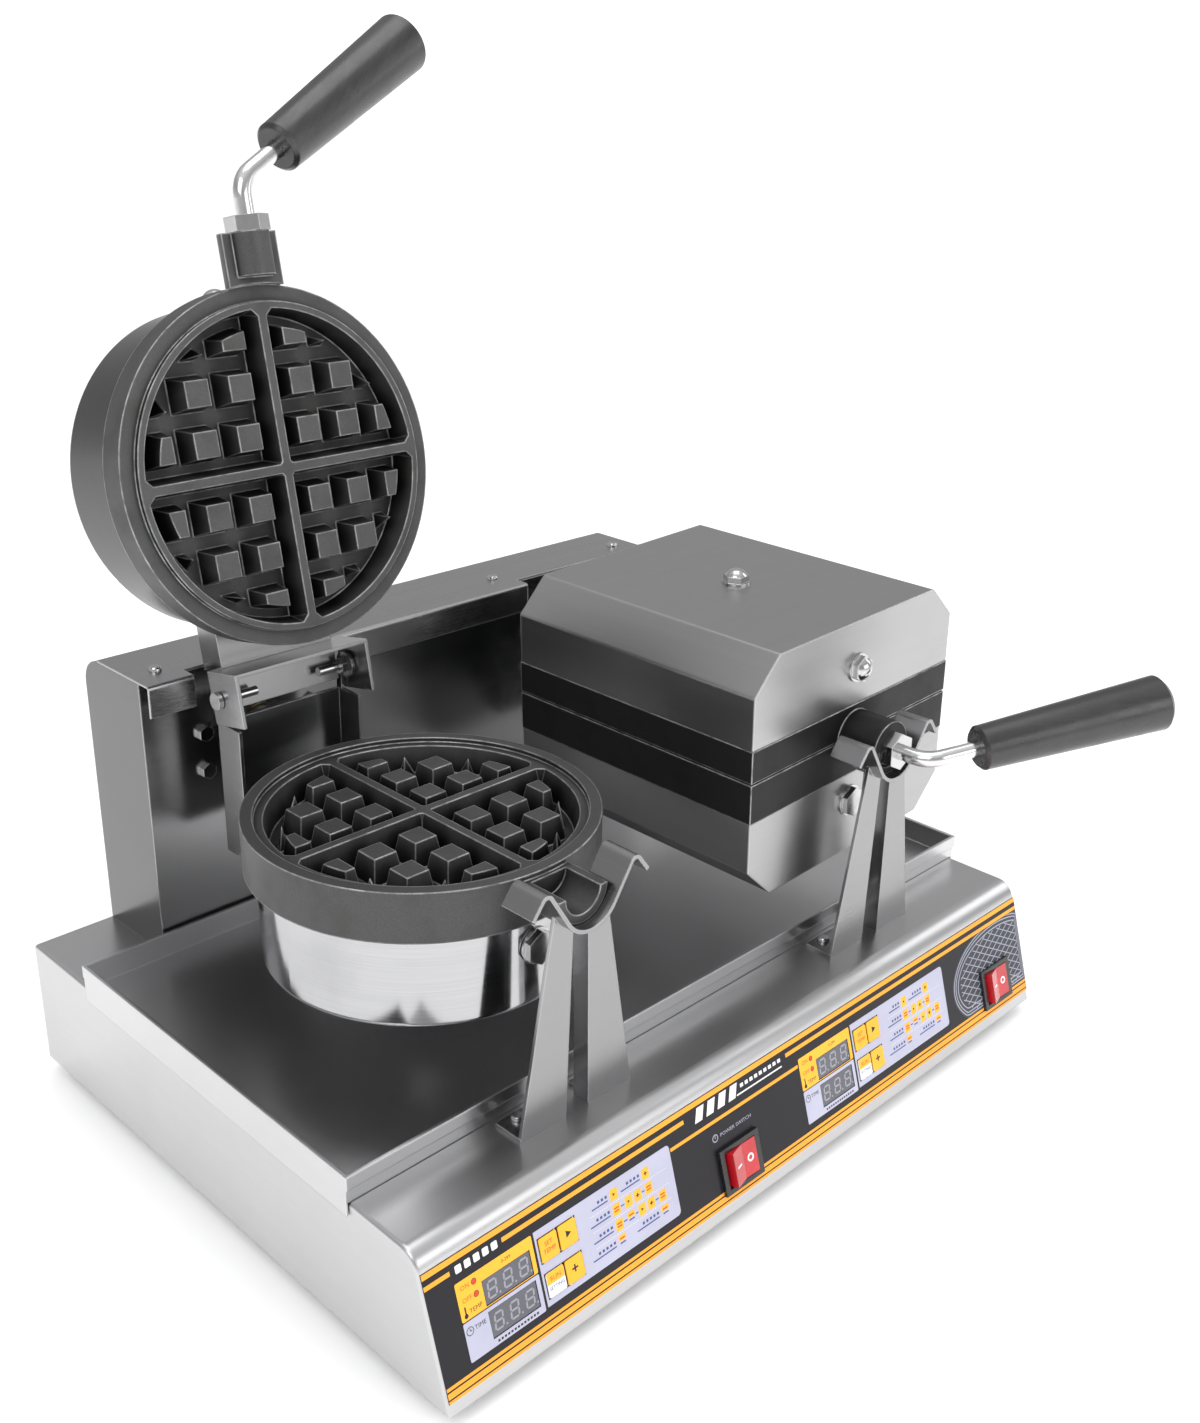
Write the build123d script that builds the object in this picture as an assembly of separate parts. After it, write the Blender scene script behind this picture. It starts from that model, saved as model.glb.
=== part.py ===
from build123d import *
import math
import os

# Double flip waffle baker: a low chassis with a sloped control panel, a drip tray, a rear
# bearing housing and two waffle units that each turn over about a front-to-back shaft and
# open about a hinge at the rear. Millimetres, +X right, +Y back, +Z up. Every piece is drawn
# where it rests: the left unit open on its stop, the right unit closed. The sizes below are
# measured from the middle of the chassis. The last lines move the whole object so that its
# origin is the middle of its overall box, on the counter.

os.makedirs("parts", exist_ok=True)

# Chassis
BASE_W = 480
BASE_D = 365
BASE_H = 75
FOOT_H = 8
PANEL_RUN = 23
SHEET = 1.2
FRONT_BEND = 12
SIDE_BEND = 2
FLANGE_W = 14
BASE_FRONT = -BASE_D / 2
BASE_BACK = BASE_D / 2
TOP_Z = FOOT_H + BASE_H
FOOT_INSET = 32

# Drip tray
TRAY_HALF_W = 241.4
TRAY_WALL = 1
TRAY_FRONT = -114.2
TRAY_BACK = 121
TRAY_LIFT = 0.3
TRAY_H = 14.7
TRAY_SKIRT = 6.7
TRAY_HEM = 7.5

# Rear housing and its cap
HOUSE_HALF_W = 191.7
HOUSE_FRONT = 123.8
HOUSE_TOP = 247.3
HOUSE_BEND = 15.6
CAP_FRONT = 113
CAP_FLANGE = 17.8
NOTCH_HALF = 44.5
CAP_SCREWS = [(-176, 133), (-65, 135), (65, 135), (176, 137)]

# Waffle units: two front-to-back turning axes
UNIT_X = 120
AXIS_Z = 204
UNIT_Y = -22
UNIT_R = 90.5
SPLIT = 0.15
UPPER_T = 19.4
LOWER_T = 24
CASING_H = 50.3
CASING_R = 84
CASING_WALL = 1.2
CHAMFER = 19.9
OPEN_ANGLE = 101.4
REST_TILT = -2.1

# Rear lid hinge
HINGE_Y = 93
HINGE_Z = 239.5
HINGE_PIN_R = 2.5
RUNNING = 0.05
ARM_RISE = AXIS_Z - 162
ARM_T = 1.5
ARM_HALF = 35

# Fork and shaft
FORK_HALF = 39.7
FORK_T = 2
FORK_Y = (81, 101)
FORK_BOTTOM = 147.5
EAR_R = 7.5
LEG_GAP = 0.5
SHAFT_R = 12
SHAFT_BORE = 8
SHAFT_END = 166

# Cast waffle pattern
CAVITY_R = 79
RIDGE_R = 82.5
RIM_DROP = 3
CAVITY_DEPTH = 15
RIB_TOP = 5
LIP_RISE = 2.7
LIP_R = 84
PEG_PITCH = 24.6
PEG_START = 17.7
PEG_BASE = 17.5
PEG_TOP = 13
PEG_DROP = 1.5
PEG_LIMIT_R = (70, 72)
GUSSET = 8.6

# Front lugs, handle and cradle
LUG_R = 15.5
LUG_END = -137.5
TROUGH_R = 11
BOSS_R = 10
ROD_R = 4.5
NUT_AF = 19
NUT_T = 7.5
ROD_BEND = Vector(0, -161.7, AXIS_Z)
GRIP_DIR = Vector(104.2, -57.3, 14.5).normalized()
GRIP_START = 30.2
GRIP_L = 116
GRIP_R = (12.7, 16)
CRADLE_FRONT = -136.3
CRADLE_T = 2
SADDLE_Y = (-143.5, -123.1)
RIDGE = (27.9, 216.5)
SEAT_R = LUG_R + 0.5

# Sloped panel: u runs right, v runs up the slope, w stands out of it
PANEL = Plane(origin=(0, BASE_FRONT, FOOT_H), x_dir=(1, 0, 0), z_dir=(0, -BASE_H, PANEL_RUN))
OVERLAY_V = (6.3, 68.5)
OVERLAY_T = 0.4
BLOCK_PITCH = 240
WINDOW_U = (-209.5, -181)
WINDOW_V = [(21.2, 34.4), (37.4, 49.6)]
KEY_U = (-170, -158)
KEY_V = (45.5, 27.8)
KEY_NAMES = [["set_temp", "next"], ["run", "plus"]]
KEY_W, KEY_H = 10.9, 12
KEY_TRAVEL = 0.5
SWITCHES = {"power": (-40, 23.8), "auxiliary": (205.3, 24.1)}
FRAME_U, FRAME_V = 30, 25
ROCKER_U, ROCKER_V = 20.4, 19
ROCKER_TILT = 8


def block(x, y, z):
    """A box between the low and high value on each axis."""
    size = (x[1] - x[0], y[1] - y[0], z[1] - z[0])
    return Pos(sum(x) / 2, sum(y) / 2, sum(z) / 2) * Box(*size)


def bar(start, end, radius):
    """A round bar from one point to another."""
    start, end = Vector(*start), Vector(*end)
    plane = Plane(origin=start, z_dir=end - start)
    return extrude(plane * Circle(radius), amount=(end - start).length)


def hexagon(start, end, across_flats):
    """A hexagonal prism from one point to another."""
    start, end = Vector(*start), Vector(*end)
    plane = Plane(origin=start, z_dir=end - start)
    radius = across_flats / math.sqrt(3)
    return extrude(plane * RegularPolygon(radius, 6), amount=(end - start).length)


def profile_x(points, x):
    """A solid whose outline is drawn in YZ and that runs along X."""
    face = Plane.YZ * make_face(Polyline(*points, close=True))
    return Pos(x[0], 0, 0) * extrude(face, amount=x[1] - x[0])


def profile_y(points, y):
    """A solid whose outline is drawn in XZ and that runs along Y."""
    face = make_face(Polyline(*points, close=True))
    plane = Plane(origin=(0, y[0], 0), x_dir=(1, 0, 0), z_dir=(0, -1, 0))
    return extrude(plane * face, amount=-(y[1] - y[0]))


def edges_near(solid, axis, point, tol=0.6):
    """The edges parallel to an axis whose middle passes a point (None is any value)."""
    found = []
    for edge in solid.edges().filter_by(axis):
        mid = edge.center()
        near = zip((mid.X, mid.Y, mid.Z), point)
        if all(want is None or abs(value - want) < tol for value, want in near):
            found.append(edge)
    return found


def mirrored(solid):
    return mirror(solid, Plane.YZ)


def as_one(pieces):
    result = pieces[0]
    for piece in pieces[1:]:
        result += piece
    return result


def dome_screw(x, y, seat):
    """An upright dome-head screw on a surface at a given height."""
    ball_r, head_h, shank_r, shank_l = 3.6, 2.4, 2, 8
    head = Pos(x, y, seat) * Sphere(ball_r)
    head &= block((x - 5, x + 5), (y - 5, y + 5), (seat, seat + head_h))
    return head + bar((x, y, seat - shank_l), (x, y, seat), shank_r)


pieces = {}


def save(node, shape, count=1):
    """Keep one node's solids and say so if there aren't as many as there should be."""
    solids = shape.solids()
    if len(solids) != count:
        print(f"{node}: {len(solids)} solids, expected {count}")
    pieces[node] = solids


# ---------------------------------------------------------------- chassis
def base_profile(inset):
    """The chassis outline in YZ, moved in by a sheet's thickness."""
    slope = math.hypot(PANEL_RUN, BASE_H)
    shift = inset * slope / BASE_H
    low = FOOT_H + inset
    high = TOP_Z - inset
    lean = PANEL_RUN / BASE_H
    front = BASE_FRONT + shift
    return [
        (front + (low - FOOT_H) * lean, low),
        (front + (high - FOOT_H) * lean, high),
        (BASE_BACK - inset, high),
        (BASE_BACK - inset, low),
    ]


def base_body(inset):
    points = base_profile(inset)
    half = BASE_W / 2 - inset
    solid = profile_x(points, (-half, half))
    bend = edges_near(solid, Axis.X, (None, points[1][0], points[1][1]))
    return fillet(bend, FRONT_BEND - inset)


def panel_hole(u, v, depth=8):
    """A cutter through the sloped panel between u and v limits."""
    middle = Pos(sum(u) / 2, sum(v) / 2, 0)
    return PANEL * middle * Box(u[1] - u[0], v[1] - v[0], depth)


base_shell = base_body(0)
side_edges = [
    e
    for e in base_shell.edges()
    if abs(abs(e.center().X) - BASE_W / 2) < 0.1 and e.center().Z > FOOT_H + 1
    and not (e.geom_type == GeomType.LINE and e.center().Y > BASE_BACK - 1)
]
base_shell = fillet(side_edges, SIDE_BEND)
base_shell -= base_body(SHEET)
base_shell -= block(
    (-BASE_W / 2 + FLANGE_W, BASE_W / 2 - FLANGE_W),
    (BASE_FRONT + FLANGE_W, BASE_BACK - FLANGE_W),
    (FOOT_H - 1, FOOT_H + SHEET + 0.1),
)
base_shell -= block((-160, 160), (140, 168), (TOP_Z - 4, TOP_Z + 1))
for side in (0, BLOCK_PITCH):
    window = (WINDOW_U[0] + side - 0.5, WINDOW_U[1] + side + 0.5)
    base_shell -= panel_hole(window, (WINDOW_V[0][0] - 0.5, WINDOW_V[1][1] + 0.5))
    for u in KEY_U:
        for v in KEY_V:
            base_shell -= PANEL * Pos(u + side, v, 0) * Box(7, 7, 8)
for u, v in SWITCHES.values():
    base_shell -= PANEL * Pos(u, v, 0) * Box(27, 22, 8)
GLAND_X, GLAND_Z = 190, 42
base_shell -= bar((GLAND_X, BASE_BACK - 5, GLAND_Z), (GLAND_X, BASE_BACK + 5, GLAND_Z), 8)
CRADLE_SCREW = (27.3, -123.3)
for axis_x in (-UNIT_X, UNIT_X):
    for side in (-1, 1):
        x = axis_x + side * CRADLE_SCREW[0]
        base_shell -= bar((x, CRADLE_SCREW[1], TOP_Z - 4), (x, CRADLE_SCREW[1], TOP_Z + 1), 2)
save("base_shell", base_shell)

plate_z = (FOOT_H + SHEET, FOOT_H + 2 * SHEET)
base_bottom_plate = block((-238, 238), (BASE_FRONT + 3, BASE_BACK - 2), plate_z)
for column in range(9):
    for row in (-90, 90):
        x = -160 + 40 * column
        base_bottom_plate -= block((x - 2, x + 2), (row - 25, row + 25), (FOOT_H, FOOT_H + 4))
foot_places = [
    (sx * (BASE_W / 2 - FOOT_INSET), sy * (BASE_D / 2 - FOOT_INSET))
    for sx in (-1, 1)
    for sy in (-1, 1)
]
for x, y in foot_places:
    base_bottom_plate -= bar((x, y, FOOT_H), (x, y, FOOT_H + 4), 4)
save("base_bottom_plate", base_bottom_plate)

rubber_feet = []
for x, y in foot_places:
    foot = Pos(x, y, plate_z[0] / 2) * Cone(12, 15, plate_z[0])
    foot += bar((x, y, plate_z[0]), (x, y, plate_z[1]), 4)
    foot += Pos(x, y, plate_z[1] + 2) * Cone(5.5, 3, 4)
    rubber_feet.append(foot)
save("rubber_feet", Compound(children=rubber_feet), len(rubber_feet))

gland = hexagon((GLAND_X, BASE_BACK, GLAND_Z), (GLAND_X, BASE_BACK + 4, GLAND_Z), 20)
gland += bar((GLAND_X, BASE_BACK - 12, GLAND_Z), (GLAND_X, BASE_BACK, GLAND_Z), 8)
gland += bar((GLAND_X, BASE_BACK + 4, GLAND_Z), (GLAND_X, BASE_BACK + 8, GLAND_Z), 9)
gland += hexagon((GLAND_X, BASE_BACK - 5.2, GLAND_Z), (GLAND_X, BASE_BACK - SHEET, GLAND_Z), 20)
gland -= bar((GLAND_X, BASE_BACK - 13, GLAND_Z), (GLAND_X, BASE_BACK + 9, GLAND_Z), 4.2)
save("cable_gland", gland)

# ---------------------------------------------------------------- drip tray
floor_z = TOP_Z + TRAY_LIFT
rim_z = floor_z + TRAY_H
tray = block((-TRAY_HALF_W, TRAY_HALF_W), (TRAY_FRONT, TRAY_BACK), (floor_z, rim_z))
tray -= block(
    (-TRAY_HALF_W + 2 * TRAY_WALL, TRAY_HALF_W - 2 * TRAY_WALL),
    (TRAY_FRONT + TRAY_WALL, TRAY_BACK - TRAY_WALL),
    (floor_z + TRAY_WALL, rim_z + 1),
)
for front, back in ((TRAY_FRONT - TRAY_WALL, TRAY_FRONT), (TRAY_BACK, TRAY_BACK + TRAY_WALL)):
    tray += block((-TRAY_HALF_W, TRAY_HALF_W), (front, back), (rim_z - TRAY_HEM, rim_z))
for side in (-1, 1):
    skirt = sorted((side * (TRAY_HALF_W - TRAY_WALL), side * TRAY_HALF_W))
    tray += block(skirt, (TRAY_FRONT, TRAY_BACK), (TOP_Z - TRAY_SKIRT, floor_z))
save("drip_tray", tray)

# ---------------------------------------------------------------- rear housing
def house_body(inset):
    half = HOUSE_HALF_W - inset
    solid = block(
        (-half, half), (HOUSE_FRONT + inset, BASE_BACK - inset), (TOP_Z + inset, HOUSE_TOP - inset)
    )
    bend = edges_near(solid, Axis.X, (None, BASE_BACK - inset, HOUSE_TOP - inset))
    return fillet(bend, HOUSE_BEND - inset)


housing = house_body(0) - house_body(SHEET)
housing -= block(
    (-HOUSE_HALF_W + FLANGE_W, HOUSE_HALF_W - FLANGE_W),
    (HOUSE_FRONT + FLANGE_W / 2, BASE_BACK - FLANGE_W / 2),
    (TOP_Z - 1, TOP_Z + SHEET + 0.1),
)
BOLT_DX = 35.6
BOLT_Z = (AXIS_Z - 17, AXIS_Z + 5.4)
for axis_x in (-UNIT_X, UNIT_X):
    housing -= bar((axis_x, HOUSE_FRONT - 1, AXIS_Z), (axis_x, HOUSE_FRONT + 3, AXIS_Z), 13)
    for dx in (-BOLT_DX, BOLT_DX):
        for z in BOLT_Z:
            x = axis_x + dx
            housing -= bar((x, HOUSE_FRONT - 1, z), (x, HOUSE_FRONT + 3, z), 2.5)
for x, y in CAP_SCREWS:
    housing -= bar((x, y, HOUSE_TOP - 3), (x, y, HOUSE_TOP + 1), 2)
save("housing_shell", housing)

cap_top = HOUSE_TOP + SHEET
cap_back = BASE_BACK - HOUSE_BEND
cap = block((-HOUSE_HALF_W, HOUSE_HALF_W), (CAP_FRONT, cap_back), (HOUSE_TOP, cap_top))
cap += block(
    (-HOUSE_HALF_W, HOUSE_HALF_W), (CAP_FRONT, CAP_FRONT + SHEET), (cap_top - CAP_FLANGE, cap_top)
)
cap = fillet(edges_near(cap, Axis.X, (None, CAP_FRONT, cap_top)), 2)
for axis_x in (-UNIT_X, UNIT_X):
    cap -= block(
        (axis_x - NOTCH_HALF, axis_x + NOTCH_HALF),
        (CAP_FRONT - 1, HOUSE_FRONT),
        (cap_top - CAP_FLANGE - 1, cap_top + 1),
    )
for x, y in CAP_SCREWS:
    cap -= bar((x, y, HOUSE_TOP - 1), (x, y, cap_top + 1), 2)
save("housing_cap", cap)

cap_screws = [dome_screw(x, y, cap_top) for x, y in CAP_SCREWS]
save("cap_screws", Compound(children=cap_screws), len(cap_screws))

bearing_bolts = []
for side, axis_x in (("left", -UNIT_X), ("right", UNIT_X)):
    wall = HOUSE_FRONT + SHEET
    flange = block((axis_x - 43, axis_x + 43), (wall, wall + 4), (AXIS_Z - 27, AXIS_Z + 15))
    flange = fillet(flange.edges().filter_by(Axis.Y), 4)
    flange += bar((axis_x, wall, AXIS_Z), (axis_x, SHAFT_END - 8, AXIS_Z), 19)
    bore_r = SHAFT_R + RUNNING
    flange -= bar((axis_x, wall - 1, AXIS_Z), (axis_x, SHAFT_END, AXIS_Z), bore_r)
    for dx in (-BOLT_DX, BOLT_DX):
        for z in BOLT_Z:
            x = axis_x + dx
            flange -= bar((x, wall - 1, z), (x, wall + 5, z), 2.5)
            bolt = hexagon((x, HOUSE_FRONT - 3.5, z), (x, HOUSE_FRONT, z), 8)
            bolt += bar((x, HOUSE_FRONT, z), (x, wall + 4, z), 2.5)
            bolt += hexagon((x, wall + 4, z), (x, wall + 8, z), 8)
            bearing_bolts.append(bolt)
    save(f"{side}_bearing", flange)
save("bearing_bolts", Compound(children=bearing_bolts), len(bearing_bolts))

# ---------------------------------------------------------------- front cradles
def make_cradle():
    """A saddle strip on two tapered legs, drawn about x = 0."""
    middle_r = SEAT_R + CRADLE_T / 2
    rx, rz = RIDGE[0], RIDGE[1] - AXIS_Z
    tilt = math.atan2(rz, rx) - math.acos(middle_r / math.hypot(rx, rz))
    vee = AXIS_Z + middle_r / math.sin(tilt)
    lip = (36.5, 205)
    path = FilletPolyline(
        (-lip[0], lip[1]), (-rx, RIDGE[1]), (0, vee), (rx, RIDGE[1]), lip,
        radius=[3, middle_r, 3],
    )
    strip = trace(path, line_width=CRADLE_T)
    plane = Plane(origin=(0, SADDLE_Y[0], 0), x_dir=(1, 0, 0), z_dir=(0, -1, 0))
    saddle = extrude(plane * strip, amount=-(SADDLE_Y[1] - SADDLE_Y[0]))
    foot_out, foot_in, top_in = 37.1, 7.5, 4.8
    leg_y = (CRADLE_FRONT, CRADLE_FRONT + CRADLE_T)
    tab_back, flange_back = -118.7, -126
    seat_bottom = AXIS_Z - SEAT_R - CRADLE_T / 2
    outline = [(foot_out, TOP_Z), (foot_in, TOP_Z), (top_in, seat_bottom), (16.2, 200)]
    leg = profile_y(outline, leg_y)
    flange = profile_y(
        [(foot_in, TOP_Z), (foot_in + CRADLE_T, TOP_Z), (top_in + CRADLE_T, seat_bottom),
         (top_in, seat_bottom)],
        (CRADLE_FRONT, flange_back),
    )
    leg += flange
    leg += block((11, foot_out), (CRADLE_FRONT, tab_back), (TOP_Z, TOP_Z + CRADLE_T))
    hole = CRADLE_SCREW
    leg -= bar((hole[0], hole[1], TOP_Z - 1), (hole[0], hole[1], TOP_Z + 4), 2)
    result = saddle + leg + mirrored(leg)
    return result - bar((0, SADDLE_Y[0] - 1, AXIS_Z), (0, SADDLE_Y[1] + 1, AXIS_Z), SEAT_R)


cradle = make_cradle()
cradle_screws = []
for side, axis_x in (("left", -UNIT_X), ("right", UNIT_X)):
    save(f"{side}_cradle", Pos(axis_x, 0, 0) * cradle)
    for sign in (-1, 1):
        x = axis_x + sign * CRADLE_SCREW[0]
        cradle_screws.append(dome_screw(x, CRADLE_SCREW[1], TOP_Z + CRADLE_T))
save("cradle_screws", Compound(children=cradle_screws), len(cradle_screws))


# ---------------------------------------------------------------- waffle plates
def cavity_cutter(square, depth):
    """The batter cavity, drawn downwards from z = 0."""
    if square:
        sketch = Rectangle(2 * CAVITY_R, 2 * CAVITY_R)
    else:
        sketch = Circle(CAVITY_R)
    return extrude(sketch, amount=-depth, taper=8)


def waffle_face(square):
    """The rib cross and the peg grid that stand in the cavity, top at z = 0."""
    rib = Trapezoid(RIB_TOP + 4, CAVITY_DEPTH, 82, align=(Align.CENTER, Align.MAX))
    rib_y = Plane(origin=(0, CAVITY_R, 0), x_dir=(1, 0, 0), z_dir=(0, -1, 0))
    cross = extrude(rib_y * rib, amount=2 * CAVITY_R)
    cross += Rot(0, 0, 90) * cross
    for x, y in ((0, 0), (CAVITY_R, 0), (-CAVITY_R, 0), (0, CAVITY_R), (0, -CAVITY_R)):
        cross += Pos(x, y, -CAVITY_DEPTH / 2) * Rot(0, 0, 45) * Box(GUSSET, GUSSET, CAVITY_DEPTH)
    quarter = [PEG_START + PEG_PITCH * i for i in range(3)]
    places = [sign * value for value in quarter for sign in (-1, 1)]
    grid = [(x, y) for x in places for y in places]
    top_r, floor_r = PEG_LIMIT_R
    if not square:
        inner = PEG_TOP / 2
        grid = [p for p in grid if math.hypot(abs(p[0]) - inner, abs(p[1]) - inner) < top_r + 1]
    height = CAVITY_DEPTH - PEG_DROP
    taper = math.degrees(math.atan((PEG_BASE - PEG_TOP) / 2 / height))
    peg = extrude(Rectangle(PEG_BASE, PEG_BASE), amount=height, taper=taper)
    pegs = [Pos(x, y, -CAVITY_DEPTH) * peg for x, y in grid]
    if not square:
        lean = math.degrees(math.atan((floor_r - top_r) / height))
        limit = Pos(0, 0, -CAVITY_DEPTH) * extrude(Circle(floor_r), amount=height, taper=lean)
        pegs = [peg & limit for peg in pegs]
    return as_one([cross] + pegs)


def waffle_plate(square, upper, thickness):
    """A cast plate with its cooking face up at z = 0 and its back below."""
    half = UNIT_R
    outline = Rectangle(2 * half, 2 * half) if square else Circle(half)
    drop = 0.4 if square else RIM_DROP
    plate = extrude(Pos(0, 0, -drop) * outline, amount=-(thickness - drop))
    ridge = Rectangle(2 * RIDGE_R, 2 * RIDGE_R) if square else Circle(RIDGE_R)
    plate += extrude(Pos(0, 0, -drop) * ridge, amount=drop)
    if not square and not upper:
        plate += extrude(Pos(0, 0, -drop) * (outline - Circle(RIDGE_R - 0.5)), amount=drop)
        plate += extrude(outline - Circle(LIP_R), amount=LIP_RISE)
    cutter = cavity_cutter(square, CAVITY_DEPTH)
    face = waffle_face(square) & cutter
    return plate - cutter + face


def plate_backs(thickness, square):
    """The bosses on the back of a plate, drawn with the cooking face up at z = 0."""
    back = -thickness
    inside = CASING_H - CASING_WALL
    arm = ARM_RISE - SPLIT - ARM_T
    bosses = [bar((0, 0, back), (0, 0, back - inside), 8)]
    for x in (-22, 22):
        y = 48 - UNIT_Y
        bosses.append(bar((x, y, back), (x, y, -arm), 6))
        bosses.append(bar((x, y, -arm), (x, y, -arm - ARM_T), 3))
        bosses.append(bar((x, y, -arm - ARM_T), (x, y, -arm - ARM_T - 2), 5))
    front = -(UNIT_R - 0.3 if square else CASING_R - 0.6) + CASING_WALL
    bosses.append(block((-7, 7), (front, front + 13), (back - 28, back)))
    return bosses


FRONT_BOLT_RISE = 41.5


def make_plate(square, upper):
    """A finished plate in the closed position, its axis at x = 0."""
    thickness = (UPPER_T if upper else LOWER_T) - SPLIT
    plate = as_one([waffle_plate(square, upper, thickness)] + plate_backs(thickness, square))
    plate = Pos(0, UNIT_Y, 0) * plate
    neck = UNIT_Y - UNIT_R + 3
    lug = bar((0, neck, 0), (0, LUG_END, 0), LUG_R)
    lug &= block((-LUG_R, LUG_R), (LUG_END, neck), (-LUG_R, 0))
    if upper and not square:
        lug -= Pos(0, UNIT_Y, 0) * extrude(Circle(UNIT_R + 0.4), amount=-RIM_DROP)
    if upper:
        lug += bar((0, UNIT_Y - UNIT_R - 4, SPLIT), (0, LUG_END, SPLIT), BOSS_R)
        plate += lug
        plate -= bar((0, LUG_END + 10, SPLIT), (0, LUG_END - 1, SPLIT), ROD_R)
    else:
        plate += lug
        plate -= bar((0, UNIT_Y - UNIT_R - 2, 0), (0, LUG_END - 1, 0), TROUGH_R)
    rise = FRONT_BOLT_RISE - SPLIT
    face = UNIT_Y - UNIT_R
    plate -= bar((0, face - 1, -rise), (0, face + 20, -rise), 3)
    plate -= bar((0, UNIT_Y, -thickness - CASING_H), (0, UNIT_Y, -thickness - CASING_H + 14), 3)
    if upper:
        plate = Rot(0, 180, 0) * plate
        return Pos(0, 0, AXIS_Z + SPLIT) * plate
    return Pos(0, 0, AXIS_Z - SPLIT) * plate


def make_casing(square, upper):
    """The sheet cover behind a plate, in the closed position, its axis at x = 0."""
    if square:
        half = UNIT_R - 0.3

        def hull(inset):
            side, high = half - inset, CASING_H - inset
            corner = CHAMFER + inset * math.tan(math.radians(22.5))
            shoulder, knee = half - corner, CASING_H - corner
            left = [(-side, 0), (-side, knee), (-shoulder, high)]
            right = [(shoulder, high), (side, knee), (side, 0)]
            return profile_y(left + right, (UNIT_Y - side, UNIT_Y + side))

        outer = hull(0)
        bends = [e for e in outer.edges().filter_by(Axis.Y) if e.center().Z > 1]
        outer = fillet(bends, 2)
        inner = hull(CASING_WALL)
    else:
        outer = Pos(0, UNIT_Y, CASING_H / 2) * Cylinder(CASING_R, CASING_H)
        outer = fillet(outer.edges().sort_by(Axis.Z)[-1], 3)
        inner = extrude(Circle(CASING_R - CASING_WALL), amount=CASING_H - CASING_WALL)
        inner = Pos(0, UNIT_Y, 0) * inner
    casing = outer - inner
    thickness = UPPER_T if upper else LOWER_T
    slot_low = ARM_RISE - ARM_T - 0.5 - thickness
    slot_high = (ARM_RISE + 19 if upper else ARM_RISE + 0.5) - thickness
    casing -= block((-ARM_HALF - 1, ARM_HALF + 1), (40, 75), (slot_low, slot_high))
    rise = FRONT_BOLT_RISE - thickness
    casing -= bar((0, UNIT_Y - UNIT_R - 1, rise), (0, UNIT_Y - 60, rise), 3)
    casing -= bar((0, UNIT_Y, CASING_H - 3), (0, UNIT_Y, CASING_H + 1), 3)
    if upper:
        return Pos(0, 0, AXIS_Z + UPPER_T) * casing
    return Pos(0, 0, AXIS_Z - LOWER_T) * Rot(0, 180, 0) * casing


def make_heater(upper):
    """A tubular ring element against the back of a plate, with two terminal pins."""
    tube_r, ring_r, gap = 4, 55, 30
    ring = Rot(0, 0, 90 + gap / 2) * revolve(
        Plane.XZ * Pos(ring_r, 0) * Circle(tube_r), axis=Axis.Z, revolution_arc=360 - gap
    )
    for angle in (90 - gap / 2 - 3, 90 + gap / 2 + 3):
        x, y = ring_r * math.cos(math.radians(angle)), ring_r * math.sin(math.radians(angle))
        ring += bar((x, y, 0), (x, y, 22), 2.5)
    ring = Pos(0, UNIT_Y, tube_r) * ring
    if upper:
        return Pos(0, 0, AXIS_Z + UPPER_T) * ring
    return Pos(0, 0, AXIS_Z - LOWER_T) * Rot(0, 180, 0) * ring


def fastener(start, direction, domed):
    """A washer and a hexagon head outside a cover, with its shank inside."""
    start, direction = Vector(*start), Vector(*direction)
    washer_t, head_t, crown_h, crown_r = 1, 3.6, 3.6, 6.4
    washer_r, across_flats = (8.5, 13.4) if domed else (9.5, 16)
    seat = start + direction * washer_t
    result = bar(tuple(start), tuple(seat), washer_r)
    result += hexagon(tuple(seat), tuple(seat + direction * head_t), across_flats)
    if domed:
        ball_r = (crown_r**2 + crown_h**2) / (2 * crown_h)
        top = Plane(origin=seat + direction * head_t, z_dir=direction)
        crown = top * Pos(0, 0, crown_h - ball_r) * Sphere(ball_r)
        result += crown & top * Pos(0, 0, crown_h / 2) * Box(14, 14, crown_h)
    return result + bar(tuple(start - direction * 12), tuple(start), 3)


def cover_bolts(square, upper):
    front = UNIT_Y - (UNIT_R - 0.3 if square else CASING_R)
    sign = 1 if upper else -1
    end = AXIS_Z + (UPPER_T + CASING_H if upper else -LOWER_T - CASING_H)
    middle = fastener((0, UNIT_Y, end), (0, 0, sign), upper)
    forward = fastener((0, front, AXIS_Z + sign * FRONT_BOLT_RISE), (0, -1, 0), upper)
    return [middle, forward]


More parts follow.
